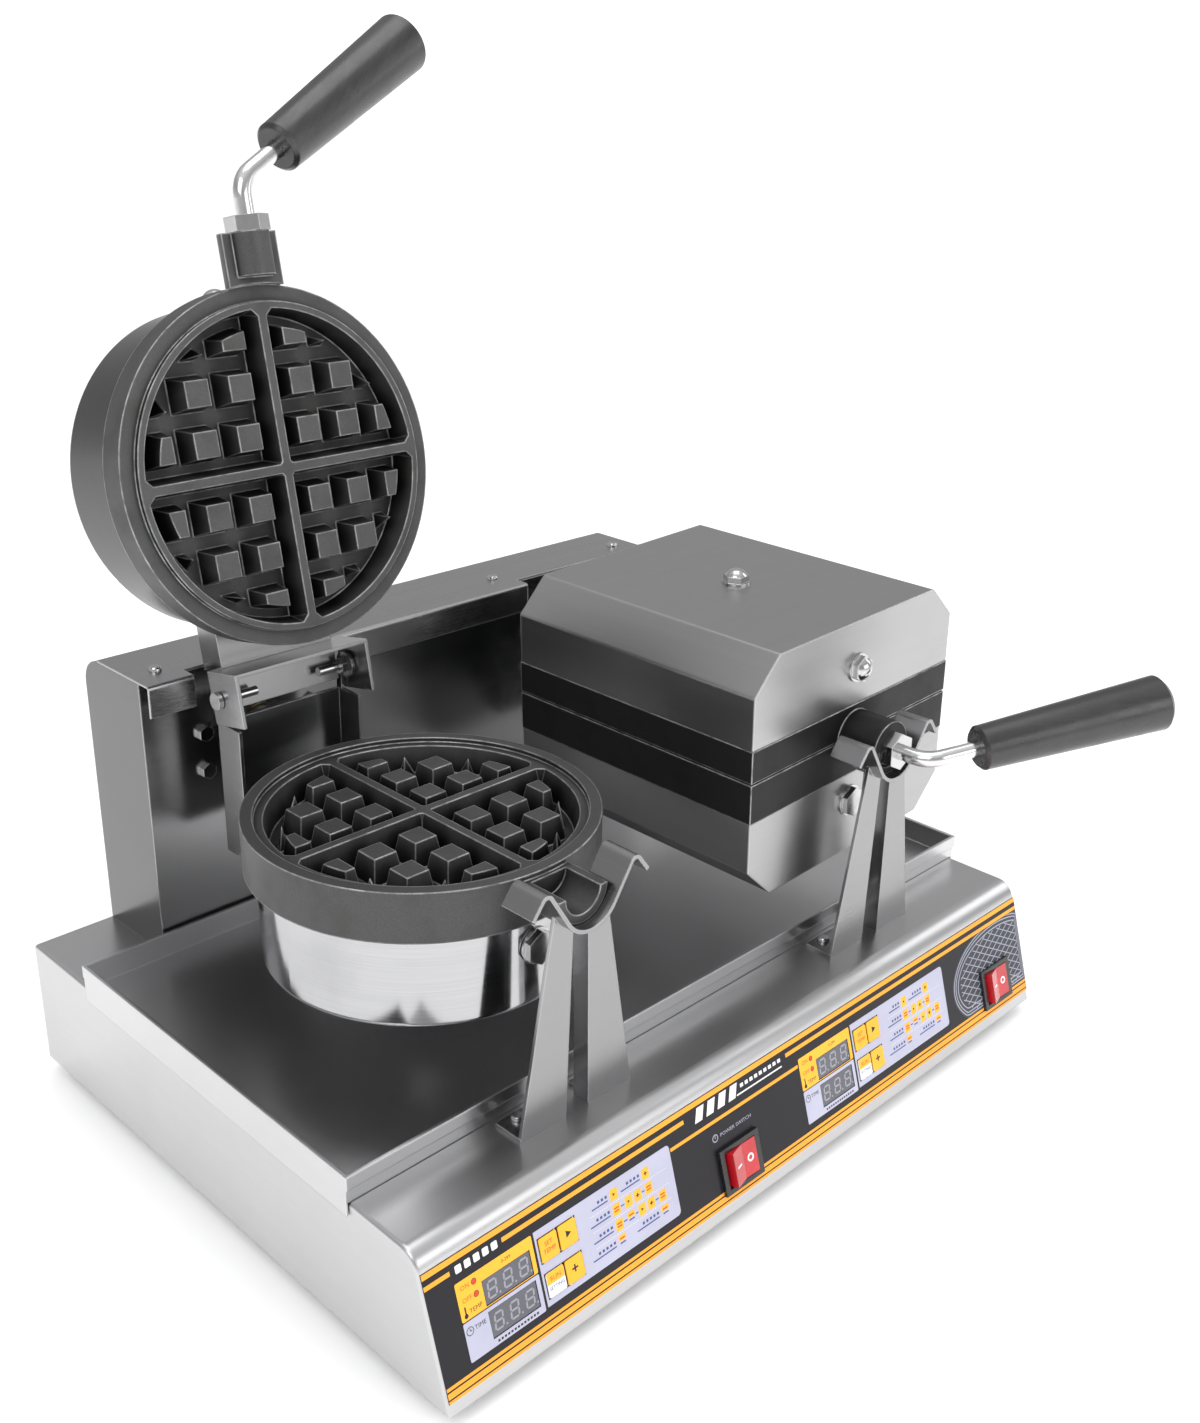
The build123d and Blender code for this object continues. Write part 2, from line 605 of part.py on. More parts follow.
# ---------------------------------------------------------------- fork, hinge and handle
def make_fork():
    """Channel fork with its lower tongue and hollow shaft, one weldment about x = 0."""
    front, back = FORK_Y
    shoulder = HINGE_Z - 15.5
    neck = HINGE_Y + 3.5
    outline = [
        (front, FORK_BOTTOM + 10), (front, shoulder), (neck, shoulder), (neck, HINGE_Z),
        (back, HINGE_Z), (back, FORK_BOTTOM), (front + 10, FORK_BOTTOM),
    ]
    arm_x = (FORK_HALF - FORK_T, FORK_HALF)
    arm = profile_x(outline, arm_x)
    arm += bar((arm_x[0], HINGE_Y, HINGE_Z), (arm_x[1], HINGE_Y, HINGE_Z), EAR_R)
    arm -= bar((0, HINGE_Y, HINGE_Z), (60, HINGE_Y, HINGE_Z), HINGE_PIN_R)
    fork = arm + mirrored(arm)
    fork += block((-arm_x[0], arm_x[0]), (back - FORK_T, back), (FORK_BOTTOM, shoulder))
    tongue_z = (AXIS_Z - ARM_RISE, AXIS_Z - ARM_RISE + ARM_T)
    tongue = block((-ARM_HALF, ARM_HALF), (40, back), tongue_z)
    for x in (-22, 22):
        tongue -= bar((x, 48, tongue_z[0] - 1), (x, 48, tongue_z[1] + 1), 3)
    fork += tongue
    fork += bar((0, back, AXIS_Z), (0, back + 6, AXIS_Z), 19)
    fork += bar((0, back - 1, AXIS_Z), (0, SHAFT_END, AXIS_Z), SHAFT_R)
    return fork - bar((0, back, AXIS_Z), (0, SHAFT_END + 1, AXIS_Z), SHAFT_BORE)


def make_hinge_pins():
    """Two pan-head hinge bolts with their inner nuts."""
    leg_out = FORK_HALF + LEG_GAP + 2
    pins = []
    for sign in (-1, 1):
        def at(x):
            return (sign * x, HINGE_Y, HINGE_Z)

        pin = bar(at(20), at(leg_out + 0.4), HINGE_PIN_R)
        pin += bar(at(leg_out + 0.4), at(leg_out + 3.2), 4.75)
        pin += hexagon(at(FORK_HALF - FORK_T - 4), at(FORK_HALF - FORK_T), 8)
        pins.append(pin)
    return pins


def make_lid_bracket():
    """Arm channel, cross flange and the two hinge legs outside the fork."""
    plane_z = AXIS_Z + ARM_RISE
    face = (plane_z - ARM_T, plane_z)
    arm = block((-ARM_HALF, ARM_HALF), (40, 80), face)
    for side in (-1, 1):
        wall = sorted((side * (ARM_HALF - ARM_T), side * ARM_HALF))
        arm += block(wall, (40, 80), (face[0], plane_z + 17))
    for x in (-22, 22):
        arm -= bar((x, 48, face[0] - 1), (x, 48, face[1] + 1), 3)
    leg_in = FORK_HALF + LEG_GAP
    leg_out = leg_in + 2
    cross_y = (HINGE_Y - 15, HINGE_Y - 13)
    low, high = HINGE_Z - 19.5, HINGE_Z + 8
    arm += block((-leg_out, leg_out), cross_y, (low, high))
    arm += block((-ARM_HALF - 1, ARM_HALF + 1), (cross_y[1], HINGE_Y + 8), face)
    for side in (-1, 1):
        leg_x = sorted((side * leg_in, side * leg_out))
        leg = block(leg_x, (cross_y[0], HINGE_Y + 14), (low, high))
        hole = bar((0, HINGE_Y, HINGE_Z), (side * 60, HINGE_Y, HINGE_Z), HINGE_PIN_R + RUNNING)
        arm += leg - hole
    return arm


def make_rod():
    start = Vector(0, LUG_END + 10, AXIS_Z)
    end = ROD_BEND + GRIP_DIR * (GRIP_START + 90)
    path = FilletPolyline(start, ROD_BEND, end, radius=14)
    section = Plane(origin=start, z_dir=(0, -1, 0)) * Circle(ROD_R)
    return sweep(section, path=path)


def make_grip():
    start = ROD_BEND + GRIP_DIR * GRIP_START
    plane = Plane(origin=start, z_dir=GRIP_DIR)
    small, big = GRIP_R
    sides = [(small - 2, 0), (small, 2), (big, GRIP_L - 3), (big - 3, GRIP_L)]
    face = make_face(Polyline((0, 0), *sides, (0, GRIP_L), close=True))
    grip = revolve(Plane.XZ * face, axis=Axis.Z)
    grip -= Cylinder(ROD_R, 90, align=(Align.CENTER, Align.CENTER, Align.MIN))
    return plane.location * grip


def make_lock_nut():
    nut = hexagon((0, LUG_END, AXIS_Z), (0, LUG_END - NUT_T, AXIS_Z), NUT_AF)
    return nut - bar((0, LUG_END + 1, AXIS_Z), (0, LUG_END - NUT_T - 1, AXIS_Z), ROD_R)


def opened(shape):
    """Swing a closed lid piece up and back onto its stop."""
    hinge = Location((0, HINGE_Y, HINGE_Z))
    return hinge * Rot(-OPEN_ANGLE, 0, 0) * hinge.inverse() * shape


def tilted(shape, angle):
    axis = Location((0, 0, AXIS_Z))
    return axis * Rot(0, angle, 0) * axis.inverse() * shape


units = [("left", -UNIT_X, False, 0, True), ("right", UNIT_X, True, REST_TILT, False)]
for side, axis_x, square, tilt, is_open in units:
    lid_place = opened if is_open else (lambda shape: shape)

    def seat(shape):
        return Pos(axis_x, 0, 0) * tilted(shape, tilt)

    save(f"{side}_fork", seat(make_fork()))
    save(f"{side}_hinge_pins", Compound(children=[seat(p) for p in make_hinge_pins()]), 2)
    save(f"{side}_lower_plate", seat(make_plate(square, False)))
    save(f"{side}_lower_casing", seat(make_casing(square, False)))
    save(f"{side}_lower_heater", seat(make_heater(False)))
    save(f"{side}_lower_bolts", Compound(children=[seat(b) for b in cover_bolts(square, False)]), 2)
    save(f"{side}_lid_bracket", seat(lid_place(make_lid_bracket())))
    save(f"{side}_upper_plate", seat(lid_place(make_plate(square, True))))
    save(f"{side}_upper_casing", seat(lid_place(make_casing(square, True))))
    save(f"{side}_upper_heater", seat(lid_place(make_heater(True))))
    nuts = [seat(lid_place(b)) for b in cover_bolts(square, True)]
    save(f"{side}_upper_cap_nuts", Compound(children=nuts), 2)
    save(f"{side}_handle_rod", seat(lid_place(make_rod())))
    save(f"{side}_lock_nut", seat(lid_place(make_lock_nut())))
    save(f"{side}_handle_grip", seat(lid_place(make_grip())))

# ---------------------------------------------------------------- control panel
overlay = Box(BASE_W - 2, OVERLAY_V[1] - OVERLAY_V[0], OVERLAY_T)
overlay = PANEL * Pos(0, sum(OVERLAY_V) / 2, OVERLAY_T / 2) * overlay
for side in (0, BLOCK_PITCH):
    for window in WINDOW_V:
        overlay -= panel_hole((WINDOW_U[0] + side, WINDOW_U[1] + side), window)
    for u in KEY_U:
        for v in KEY_V:
            overlay -= PANEL * Pos(u + side, v, 0) * Box(KEY_W + 0.6, KEY_H + 0.6, 8)
for u, v in SWITCHES.values():
    overlay -= PANEL * Pos(u, v, 0) * Box(27, 22, 8)
save("control_overlay", overlay)

INNER_W = -SHEET
BOARD_W = -9
for side, name in ((0, "left"), (BLOCK_PITCH, "right")):
    u_mid = sum(WINDOW_U) / 2 + side
    display = PANEL * Pos(u_mid, 35.4, BOARD_W + 1) * Box(32, 36, 1)
    for window in WINDOW_V:
        high = 0.2
        low = BOARD_W + 1
        size = Box(WINDOW_U[1] - WINDOW_U[0] - 0.4, window[1] - window[0] - 0.4, high - low)
        display += PANEL * Pos(u_mid, sum(window) / 2, (high + low) / 2) * size
    save(f"{name}_display", display)

    board_u = (-216 + side, -100 + side)
    board_mid = Pos(sum(board_u) / 2, 36, BOARD_W - 0.3)
    board = PANEL * board_mid * Box(board_u[1] - board_u[0], 46, 1.6)
    for u in (board_u[0] + 3, board_u[1] - 3):
        for v in (16, 56):
            post = PANEL * Pos(u, v, (INNER_W + BOARD_W + 0.5) / 2)
            board += post * Cylinder(2, INNER_W - BOARD_W - 0.5)
    for u in KEY_U:
        for v in KEY_V:
            board += PANEL * Pos(u + side, v, (BOARD_W + 0.5 - 4.2) / 2) * Box(6, 6, 4.3)
    save(f"{name}_control_board", board)

    for row, v in enumerate(KEY_V):
        for column, u in enumerate(KEY_U):
            at = PANEL * Pos(u + side, v, 0)
            key = at * Pos(0, 0, 0.75) * Box(KEY_W, KEY_H, 0.5)
            key = fillet(key.edges().filter_by(lambda e: abs(e.length - 0.5) < 0.01), 1)
            key += at * Pos(0, 0, -1.2) * Cylinder(2, 4.2)
            save(f"{name}_{KEY_NAMES[row][column]}_key", key)

power_board = block((-60, 60), (30, 110), (22, 23.6))
for x in (-55, 55):
    for y in (35, 105):
        power_board += bar((x, y, plate_z[1]), (x, y, 22), 3)
for index in range(4):
    power_board += block((-50 + 26 * index, -32 + 26 * index), (38, 66), (23.6, 40))
power_board += block((-50, -10), (74, 104), (23.6, 52))
power_board += block((0, 54), (84, 100), (23.6, 36))
save("power_board", power_board)

PIVOT_W = -5
for name, (u, v) in SWITCHES.items():
    at = PANEL * Pos(u, v, 0)
    rim_w = (OVERLAY_T, 2.4)
    frame = at * Pos(0, 0, sum(rim_w) / 2) * Box(FRAME_U, FRAME_V, rim_w[1] - rim_w[0])
    frame += at * Pos(0, 0, -9.8) * Box(26.8, 21.8, 20.8)
    frame -= at * Pos(0, 0, -4) * Box(23.6, ROCKER_V + 0.8, 16)
    for tab in (-8, 0, 8):
        frame += at * Pos(tab, 0, -24) * Box(0.8, 6, 8)
    save(f"{name}_switch_frame", frame)

    half = ROCKER_U / 2
    outline = [(-half, -3), (-half, 4.2), (0, 2.4), (half, 4.2), (half, -3), (5, -9.5), (-5, -9.5)]
    side_plane = Plane(origin=(0, -ROCKER_V / 2, 0), x_dir=(1, 0, 0), z_dir=(0, -1, 0))
    rocker = extrude(side_plane * make_face(Polyline(*outline, close=True)), amount=-ROCKER_V)
    rocker = Pos(0, 0, PIVOT_W) * Rot(0, ROCKER_TILT, 0) * Pos(0, 0, -PIVOT_W) * rocker
    save(f"{name}_rocker", at * rocker)

# ---------------------------------------------------------------- origin and export
boxes = [solid.bounding_box() for solids in pieces.values() for solid in solids]
middle_x = (min(b.min.X for b in boxes) + max(b.max.X for b in boxes)) / 2
middle_y = (min(b.min.Y for b in boxes) + max(b.max.Y for b in boxes)) / 2
print(f"middle of the overall box: {middle_x:.3f}, {middle_y:.3f}")
for node, solids in pieces.items():
    moved = [Pos(-middle_x, -middle_y, 0) * solid for solid in solids]
    whole = moved[0] if len(moved) == 1 else Compound(children=moved)
    export_step(whole, f"parts/{node}.step")
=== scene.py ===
import math

import bmesh
import bpy
from mathutils import Matrix, Vector


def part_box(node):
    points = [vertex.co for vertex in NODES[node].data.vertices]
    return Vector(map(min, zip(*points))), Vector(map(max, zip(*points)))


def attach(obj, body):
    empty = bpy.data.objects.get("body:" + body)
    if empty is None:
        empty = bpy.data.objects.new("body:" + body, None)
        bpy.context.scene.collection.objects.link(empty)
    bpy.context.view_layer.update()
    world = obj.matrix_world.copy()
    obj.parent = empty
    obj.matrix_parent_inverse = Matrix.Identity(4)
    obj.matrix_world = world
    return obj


# The looks of the waffle baker around its CAD frame. Lengths are in metres, but what is printed on the sloped
# panel is drawn in millimetres: u to the right from the middle, v up the slope from its foot, and heights over
# the steel.
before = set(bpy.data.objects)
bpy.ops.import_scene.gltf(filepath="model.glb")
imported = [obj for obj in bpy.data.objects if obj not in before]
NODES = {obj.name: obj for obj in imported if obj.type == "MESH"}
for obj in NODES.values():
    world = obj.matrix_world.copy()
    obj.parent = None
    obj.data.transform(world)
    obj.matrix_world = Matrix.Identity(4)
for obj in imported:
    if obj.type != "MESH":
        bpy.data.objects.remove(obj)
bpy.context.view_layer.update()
MM = 0.001
SIDES = ("left", "right")
LID_SWING = math.radians(101.4)


def middle(node):
    """The centre of a CAD node's box."""
    low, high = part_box(node)
    return (Vector(low) + Vector(high)) / 2


# ---------------------------------------------------------------- node graph helper
class Graph:
    """A short way to write a procedural material."""

    def __init__(self, name):
        self.material = bpy.data.materials.new(name)
        self.material.use_nodes = True
        self.tree = self.material.node_tree
        self.tree.nodes.clear()
        self.output = self.tree.nodes.new("ShaderNodeOutputMaterial")
        self.shader = self.tree.nodes.new("ShaderNodeBsdfPrincipled")
        self.link(self.shader.outputs["BSDF"], self.output.inputs["Surface"])
        self.place = self.tree.nodes.new("ShaderNodeTexCoord")

    def link(self, start, end):
        self.tree.links.new(start, end)

    def feed(self, socket, value):
        if isinstance(value, bpy.types.NodeSocket):
            self.link(value, socket)
        else:
            socket.default_value = value

    def set(self, name, value):
        self.feed(self.shader.inputs[name], value)

    def spot(self, scale, turn=(0, 0, 0)):
        """Object coordinates turned and then stretched."""
        turned = self.tree.nodes.new("ShaderNodeMapping")
        turned.inputs["Rotation"].default_value = turn
        self.link(self.place.outputs["Object"], turned.inputs["Vector"])
        stretched = self.tree.nodes.new("ShaderNodeMapping")
        stretched.inputs["Scale"].default_value = scale
        self.link(turned.outputs["Vector"], stretched.inputs["Vector"])
        return stretched.outputs["Vector"]

    def noise(self, scale, turn=(0, 0, 0), detail=3.0, rough=0.6):
        if isinstance(scale, (int, float)):
            scale = (scale, scale, scale)
        node = self.tree.nodes.new("ShaderNodeTexNoise")
        node.inputs["Scale"].default_value = 1.0
        node.inputs["Detail"].default_value = detail
        node.inputs["Roughness"].default_value = rough
        self.link(self.spot(scale, turn), node.inputs["Vector"])
        return node.outputs["Fac"]

    def math(self, kind, a, b=0.0):
        node = self.tree.nodes.new("ShaderNodeMath")
        node.operation = kind
        self.feed(node.inputs[0], a)
        self.feed(node.inputs[1], b)
        return node.outputs[0]

    def add(self, a, b):
        return self.math("ADD", a, b)

    def times(self, a, b):
        return self.math("MULTIPLY", a, b)

    def span(self, value, low, high, to_low=0.0, to_high=1.0):
        node = self.tree.nodes.new("ShaderNodeMapRange")
        self.link(value, node.inputs["Value"])
        for name, number in zip(("From Min", "From Max", "To Min", "To Max"), (low, high, to_low, to_high)):
            node.inputs[name].default_value = number
        return node.outputs["Result"]

    def blend(self, amount, a, b):
        """Colour a turning into colour b as amount goes from 0 to 1."""
        node = self.tree.nodes.new("ShaderNodeMix")
        node.data_type = "RGBA"
        self.feed(node.inputs["Factor"], amount)
        colours = [socket for socket in node.inputs if socket.type == "RGBA"]
        for socket, value in zip(colours, (a, b)):
            self.feed(socket, (*value, 1.0) if isinstance(value, tuple) else value)
        return [socket for socket in node.outputs if socket.type == "RGBA"][0]

    def mix(self, amount, a, b):
        """Number a turning into number b as amount goes from 0 to 1."""
        return self.add(self.times(a, self.math("SUBTRACT", 1.0, amount)), self.times(b, amount))

    def bump(self, height, distance, strength=1.0, normal=None):
        node = self.tree.nodes.new("ShaderNodeBump")
        node.inputs["Distance"].default_value = distance
        node.inputs["Strength"].default_value = strength
        self.link(height, node.inputs["Height"])
        if normal is not None:
            self.link(normal, node.inputs["Normal"])
        return node.outputs["Normal"]

    def bevel(self, radius, samples=4):
        node = self.tree.nodes.new("ShaderNodeBevel")
        node.samples = samples
        node.inputs["Radius"].default_value = radius
        return node.outputs["Normal"]

    def edge(self, bevelled):
        """1 on sharp edges, 0 on flats."""
        true = self.tree.nodes.new("ShaderNodeNewGeometry").outputs["Normal"]
        dot = self.tree.nodes.new("ShaderNodeVectorMath")
        dot.operation = "DOT_PRODUCT"
        self.link(bevelled, dot.inputs[0])
        self.link(true, dot.inputs[1])
        return self.span(dot.outputs["Value"], 0.997, 0.89)

    def occlusion_shade(self, reach):
        """1 on open faces, falling to 0 deep in a recess of the same piece: the mask for painted shade."""
        node = self.tree.nodes.new("ShaderNodeAmbientOcclusion")
        node.samples = 6
        node.only_local = True
        node.inputs["Distance"].default_value = reach
        return node.outputs["AO"]

    def facing_x(self):
        """1 on faces that look along X."""
        split = self.tree.nodes.new("ShaderNodeSeparateXYZ")
        self.link(self.place.outputs["Normal"], split.inputs[0])
        return self.math("GREATER_THAN", self.math("ABSOLUTE", split.outputs["X"]), 0.7)


# ---------------------------------------------------------------- metals
def brushed(name, light, dark, rough, spread=0.04, bend=1.2, wear=0.05, end=1.0):
    """Satin sheet steel: long fine grain, faint smears and slightly bright folds.
    Faces that look along X get painted shade, dimmed by the factor end."""
    g = Graph(name)
    side = g.facing_x()

    def streaks(long, fine, detail, rough):
        """Noise drawn out along X, or along Y on faces that look along X."""
        return g.mix(side, g.noise((long, fine, fine), detail=detail, rough=rough),
                     g.noise((fine, long, fine), detail=detail, rough=rough))

    grain = streaks(7, 1500, 4, 0.7)
    broad = streaks(2, 190, 2, 0.6)
    smear = g.noise(9, detail=4)
    lines = g.span(g.add(g.times(grain, 0.65), g.times(broad, 0.35)), 0.3, 0.7)
    edges = g.bevel(bend * MM)
    worn = g.edge(edges)
    metal = g.blend(lines, (dark, dark, dark * 1.01), (light, light, light * 1.01))
    metal = g.blend(g.span(smear, 0.45, 0.75, 0.0, 0.25), metal, (dark * 0.86, dark * 0.86, dark * 0.85))
    # Painted shade: faces that look along X are darkened towards near black by 1 - end.
    metal = g.blend(g.times(side, 1.0 - end), metal, (0.02, 0.02, 0.02))
    metal = g.blend(g.times(worn, 0.5), metal, (0.78, 0.78, 0.79))
    g.set("Base Color", metal)
    g.set("Metallic", 1.0)
    cloud = g.span(smear, 0.3, 0.7, 0.0, wear)
    g.set("Roughness", g.add(g.span(lines, 0.0, 1.0, rough, rough + spread), cloud))
    g.set("Normal", g.bump(lines, 0.004 * MM, 0.06, edges))
    return g.material


def polished(name, colour, rough, turn=(0, 0, 0), tint=0.0):
    """Polished sheet with very fine rings from the polishing wheel. Tint strengthens the heat stains."""
    g = Graph(name)
    fine = g.noise((9, 9, 1600), turn, detail=3, rough=0.7)
    soft = g.noise((14, 14, 60), turn, detail=3)
    stain = g.noise(16, turn, detail=5, rough=0.62)
    low = tuple(c * 0.86 for c in colour)
    metal = g.blend(g.span(fine, 0.3, 0.7), low, colour)
    metal = g.blend(g.span(stain, 0.52, 0.74, 0.0, 0.35 + tint), metal, tuple(c * 0.62 for c in colour))
    g.set("Base Color", metal)
    g.set("Metallic", 1.0)
    haze = g.add(g.span(fine, 0.3, 0.7, rough, rough + 0.05), g.span(soft, 0.35, 0.7, 0.0, 0.05))
    g.set("Roughness", haze)
    g.set("Normal", g.bump(fine, 0.012 * MM, 0.5, g.bevel(0.8 * MM)))
    return g.material


def plated(name, rough, value):
    """Bright plated hardware with small handling marks."""
    g = Graph(name)
    marks = g.noise(240, detail=5, rough=0.7)
    tone = g.noise(70, detail=3)
    metal = g.blend(g.span(marks, 0.35, 0.7), (value, value, value * 1.01), (value * 0.9,) * 3)
    metal = g.blend(g.span(tone, 0.5, 0.75, 0.0, 0.3), metal, (value * 0.6, value * 0.6, value * 0.58))
    g.set("Base Color", metal)
    g.set("Metallic", 1.0)
    g.set("Roughness", g.span(marks, 0.3, 0.7, rough, rough + 0.08))
    g.set("Normal", g.bump(marks, 0.01 * MM, 0.2, g.bevel(0.5 * MM)))
    return g.material


def nonstick(name, lustre, recess):
    """Cast aluminium under a black coating: pebbled, a little shiny, rubbed through at the edges.
    Recess is the grey of the painted shade deep in the pattern, where occlusion darkens the coat."""
    g = Graph(name)
    pebble = g.noise(1500, detail=4, rough=0.65)
    swell = g.noise(120, detail=4)
    baked = g.noise(38, detail=5, rough=0.6)
    edges = g.bevel(1.3 * MM, 6)
    worn = g.times(g.edge(edges), g.span(swell, 0.36, 0.6, 0.3, 1.0))
    coat = g.blend(g.span(pebble, 0.3, 0.7), (lustre * 0.75,) * 3, (lustre * 1.2,) * 3)
    coat = g.blend(g.span(baked, 0.48, 0.72, 0.0, 0.5), coat, (lustre * 0.6, lustre * 0.56, lustre * 0.52))
    # Painted shade: the coat is darkened to the recess grey deep in recesses, found by ambient occlusion.
    coat = g.blend(g.span(g.occlusion_shade(12 * MM), 0.35, 0.95), (recess,) * 3, coat)
    coat = g.blend(worn, coat, (0.62, 0.62, 0.62))
    g.set("Base Color", coat)
    g.set("Metallic", g.span(worn, 0.0, 1.0, 0.62, 0.95))
    g.set("Roughness", g.add(g.span(pebble, 0.3, 0.7, 0.36, 0.5), g.span(baked, 0.4, 0.7, 0.0, 0.1)))
    rough_cast = g.bump(swell, 0.12 * MM, 0.35, edges)
    g.set("Normal", g.bump(pebble, 0.09 * MM, 0.55, rough_cast))
    return g.material


def bronze(name):
    """Turned bearing bronze."""
    g = Graph(name)
    turned = g.noise((300, 40, 300), detail=3)
    g.set("Base Color", g.blend(g.span(turned, 0.3, 0.7), (0.52, 0.38, 0.16), (0.66, 0.5, 0.24)))
    g.set("Metallic", 1.0)
    g.set("Roughness", g.span(turned, 0.3, 0.7, 0.25, 0.4))
    g.set("Normal", g.bump(turned, 0.03 * MM, 0.5))
    return g.material


# ---------------------------------------------------------------- plastics, rubber and film
def moulded(name, colour, rough, grain=900, depth=0.02, lift=1.35, coat=0.0, bend=0.5):
    """Moulded plastic with a fine grain, uneven gloss and softened corners."""
    g = Graph(name)
    fine = g.noise(grain, detail=3)
    cloud = g.noise(55, detail=4)
    g.set("Base Color", g.blend(g.span(cloud, 0.35, 0.7), colour, tuple(min(1.0, c * lift) for c in colour)))
    g.set("Roughness", g.add(g.span(fine, 0.3, 0.7, rough, rough + 0.08), g.span(cloud, 0.3, 0.7, 0.0, 0.06)))
    g.set("Coat Weight", coat)
    g.set("Coat Roughness", 0.08)
    g.set("Normal", g.bump(fine, depth * MM, 0.5, g.bevel(bend * MM)))
    return g.material


def phenolic(name, axis):
    """Black moulded grip with fine lengthwise flow lines and a soft polish."""
    turn = axis.rotation_difference(Vector((0, 0, 1))).to_euler("XYZ")
    g = Graph(name)
    flow = g.noise((520, 520, 5), tuple(turn), detail=4, rough=0.65)
    broad = g.noise((150, 150, 3), tuple(turn), detail=2)
    scuff = g.noise(60, detail=5, rough=0.7)
    tone = g.blend(g.span(broad, 0.35, 0.68), (0.012, 0.012, 0.012), (0.022, 0.022, 0.023))
    tone = g.blend(g.span(flow, 0.58, 0.72, 0.0, 0.3), tone, (0.030, 0.030, 0.031))
    g.set("Base Color", tone)
    g.set("Roughness", g.add(g.span(flow, 0.3, 0.7, 0.24, 0.33), g.span(scuff, 0.5, 0.75, 0.0, 0.14)))
    g.set("Specular IOR Level", 0.85)
    g.set("Normal", g.bump(flow, 0.02 * MM, 0.25, g.bevel(1.2 * MM)))
    return g.material


def film(name, colour, rough=0.34, lift=1.12):
    """Printed polycarbonate film with a fine matt texture."""
    g = Graph(name)
    tooth = g.noise(2600, detail=2)
    cloud = g.noise(18, detail=4)
    g.set("Base Color", g.blend(g.span(cloud, 0.35, 0.7), colour, tuple(min(1.0, c * lift) for c in colour)))
    g.set("Roughness", g.add(g.span(tooth, 0.3, 0.7, rough, rough + 0.1), g.span(cloud, 0.4, 0.7, 0.0, 0.05)))
    g.set("Specular IOR Level", 0.3)
    g.set("Normal", g.bump(tooth, 0.01 * MM, 0.4))
    return g.material


def circuit(name):
    """Green board with lighter tracks."""
    g = Graph(name)
    traces = g.noise(260, detail=1)
    g.set("Base Color", g.blend(g.span(traces, 0.48, 0.54), (0.012, 0.10, 0.035), (0.03, 0.19, 0.07)))
    g.set("Roughness", g.span(traces, 0.3, 0.7, 0.3, 0.45))
    g.set("Normal", g.bump(traces, 0.03 * MM, 0.4))
    return g.material


STEEL = brushed("brushed_steel", 0.62, 0.58, 0.26)
TRAY = brushed("tray_sheet", 0.66, 0.64, 0.27, 0.02)
# The housing's faces that look along X carry painted shade.
HOUSING = brushed("housing_sheet", 0.40, 0.37, 0.2, 0.03, end=0.4)
CAP = brushed("cap_sheet", 0.47, 0.43, 0.24)
COVER = brushed("satin_cover", 0.47, 0.43, 0.27, bend=1.6)
BRACKET = brushed("bracket_steel", 0.36, 0.33, 0.2, 0.04, bend=0.7, wear=0.06)
POLISH = polished("polished_cover", (0.54, 0.54, 0.55), 0.07)
# A much darker copy of the polished cover, used on the upper left casing.
DARK = polished("dark_polished_cover", (0.115, 0.115, 0.118), 0.17, (LID_SWING, 0, 0), tint=0.2)
BRIGHT = plated("bright_plate", 0.1, 0.62)
ROD = plated("rod_plate", 0.12, 0.78)
CAST = nonstick("black_nonstick", 0.085, 0.010)
# Painted shade: the right plates get a much darker copy of the nonstick coat than the left ones.
SHADED_NONSTICK = nonstick("shaded_nonstick", 0.022, 0.012)
SHEATH = plated("oxidised_sheath", 0.4, 0.2)
BRONZE = bronze("bearing_bronze")
BLACK = moulded("black_moulding", (0.012, 0.012, 0.013), 0.22, coat=0.25)
GLAND = moulded("gland_nylon", (0.015, 0.015, 0.015), 0.4)
RUBBER = moulded("rubber", (0.016, 0.016, 0.016), 0.7, grain=1400, depth=0.06, bend=1.0)
RED = moulded("red_rocker", (0.42, 0.008, 0.014), 0.16, depth=0.01, lift=1.3, coat=0.6)
SMOKED = moulded("smoked_window", (0.080, 0.080, 0.098), 0.12, depth=0.006, lift=1.15, coat=0.4)
NAVY = film("film_navy", (0.0095, 0.0085, 0.0125), 0.3, 1.25)
ORANGE = film("film_orange", (0.86, 0.34, 0.028))
AMBER = film("film_amber", (0.92, 0.42, 0.030))
PALE = film("film_pale", (0.42, 0.42, 0.53))
WHITE = film("film_white", (0.74, 0.74, 0.76))
INK = film("ink_dark", (0.02, 0.016, 0.02))
RED_INK = film("ink_red", (0.62, 0.05, 0.02))
BLUE_INK = film("ink_blue", (0.05, 0.07, 0.22))
SLATE = film("film_slate", (0.040, 0.043, 0.056))
GREY_INK = film("ink_grey", (0.33, 0.34, 0.40))
SEGMENT = film("segment_grey", (0.27, 0.27, 0.31), 0.2)
BOARD = circuit("circuit_board")

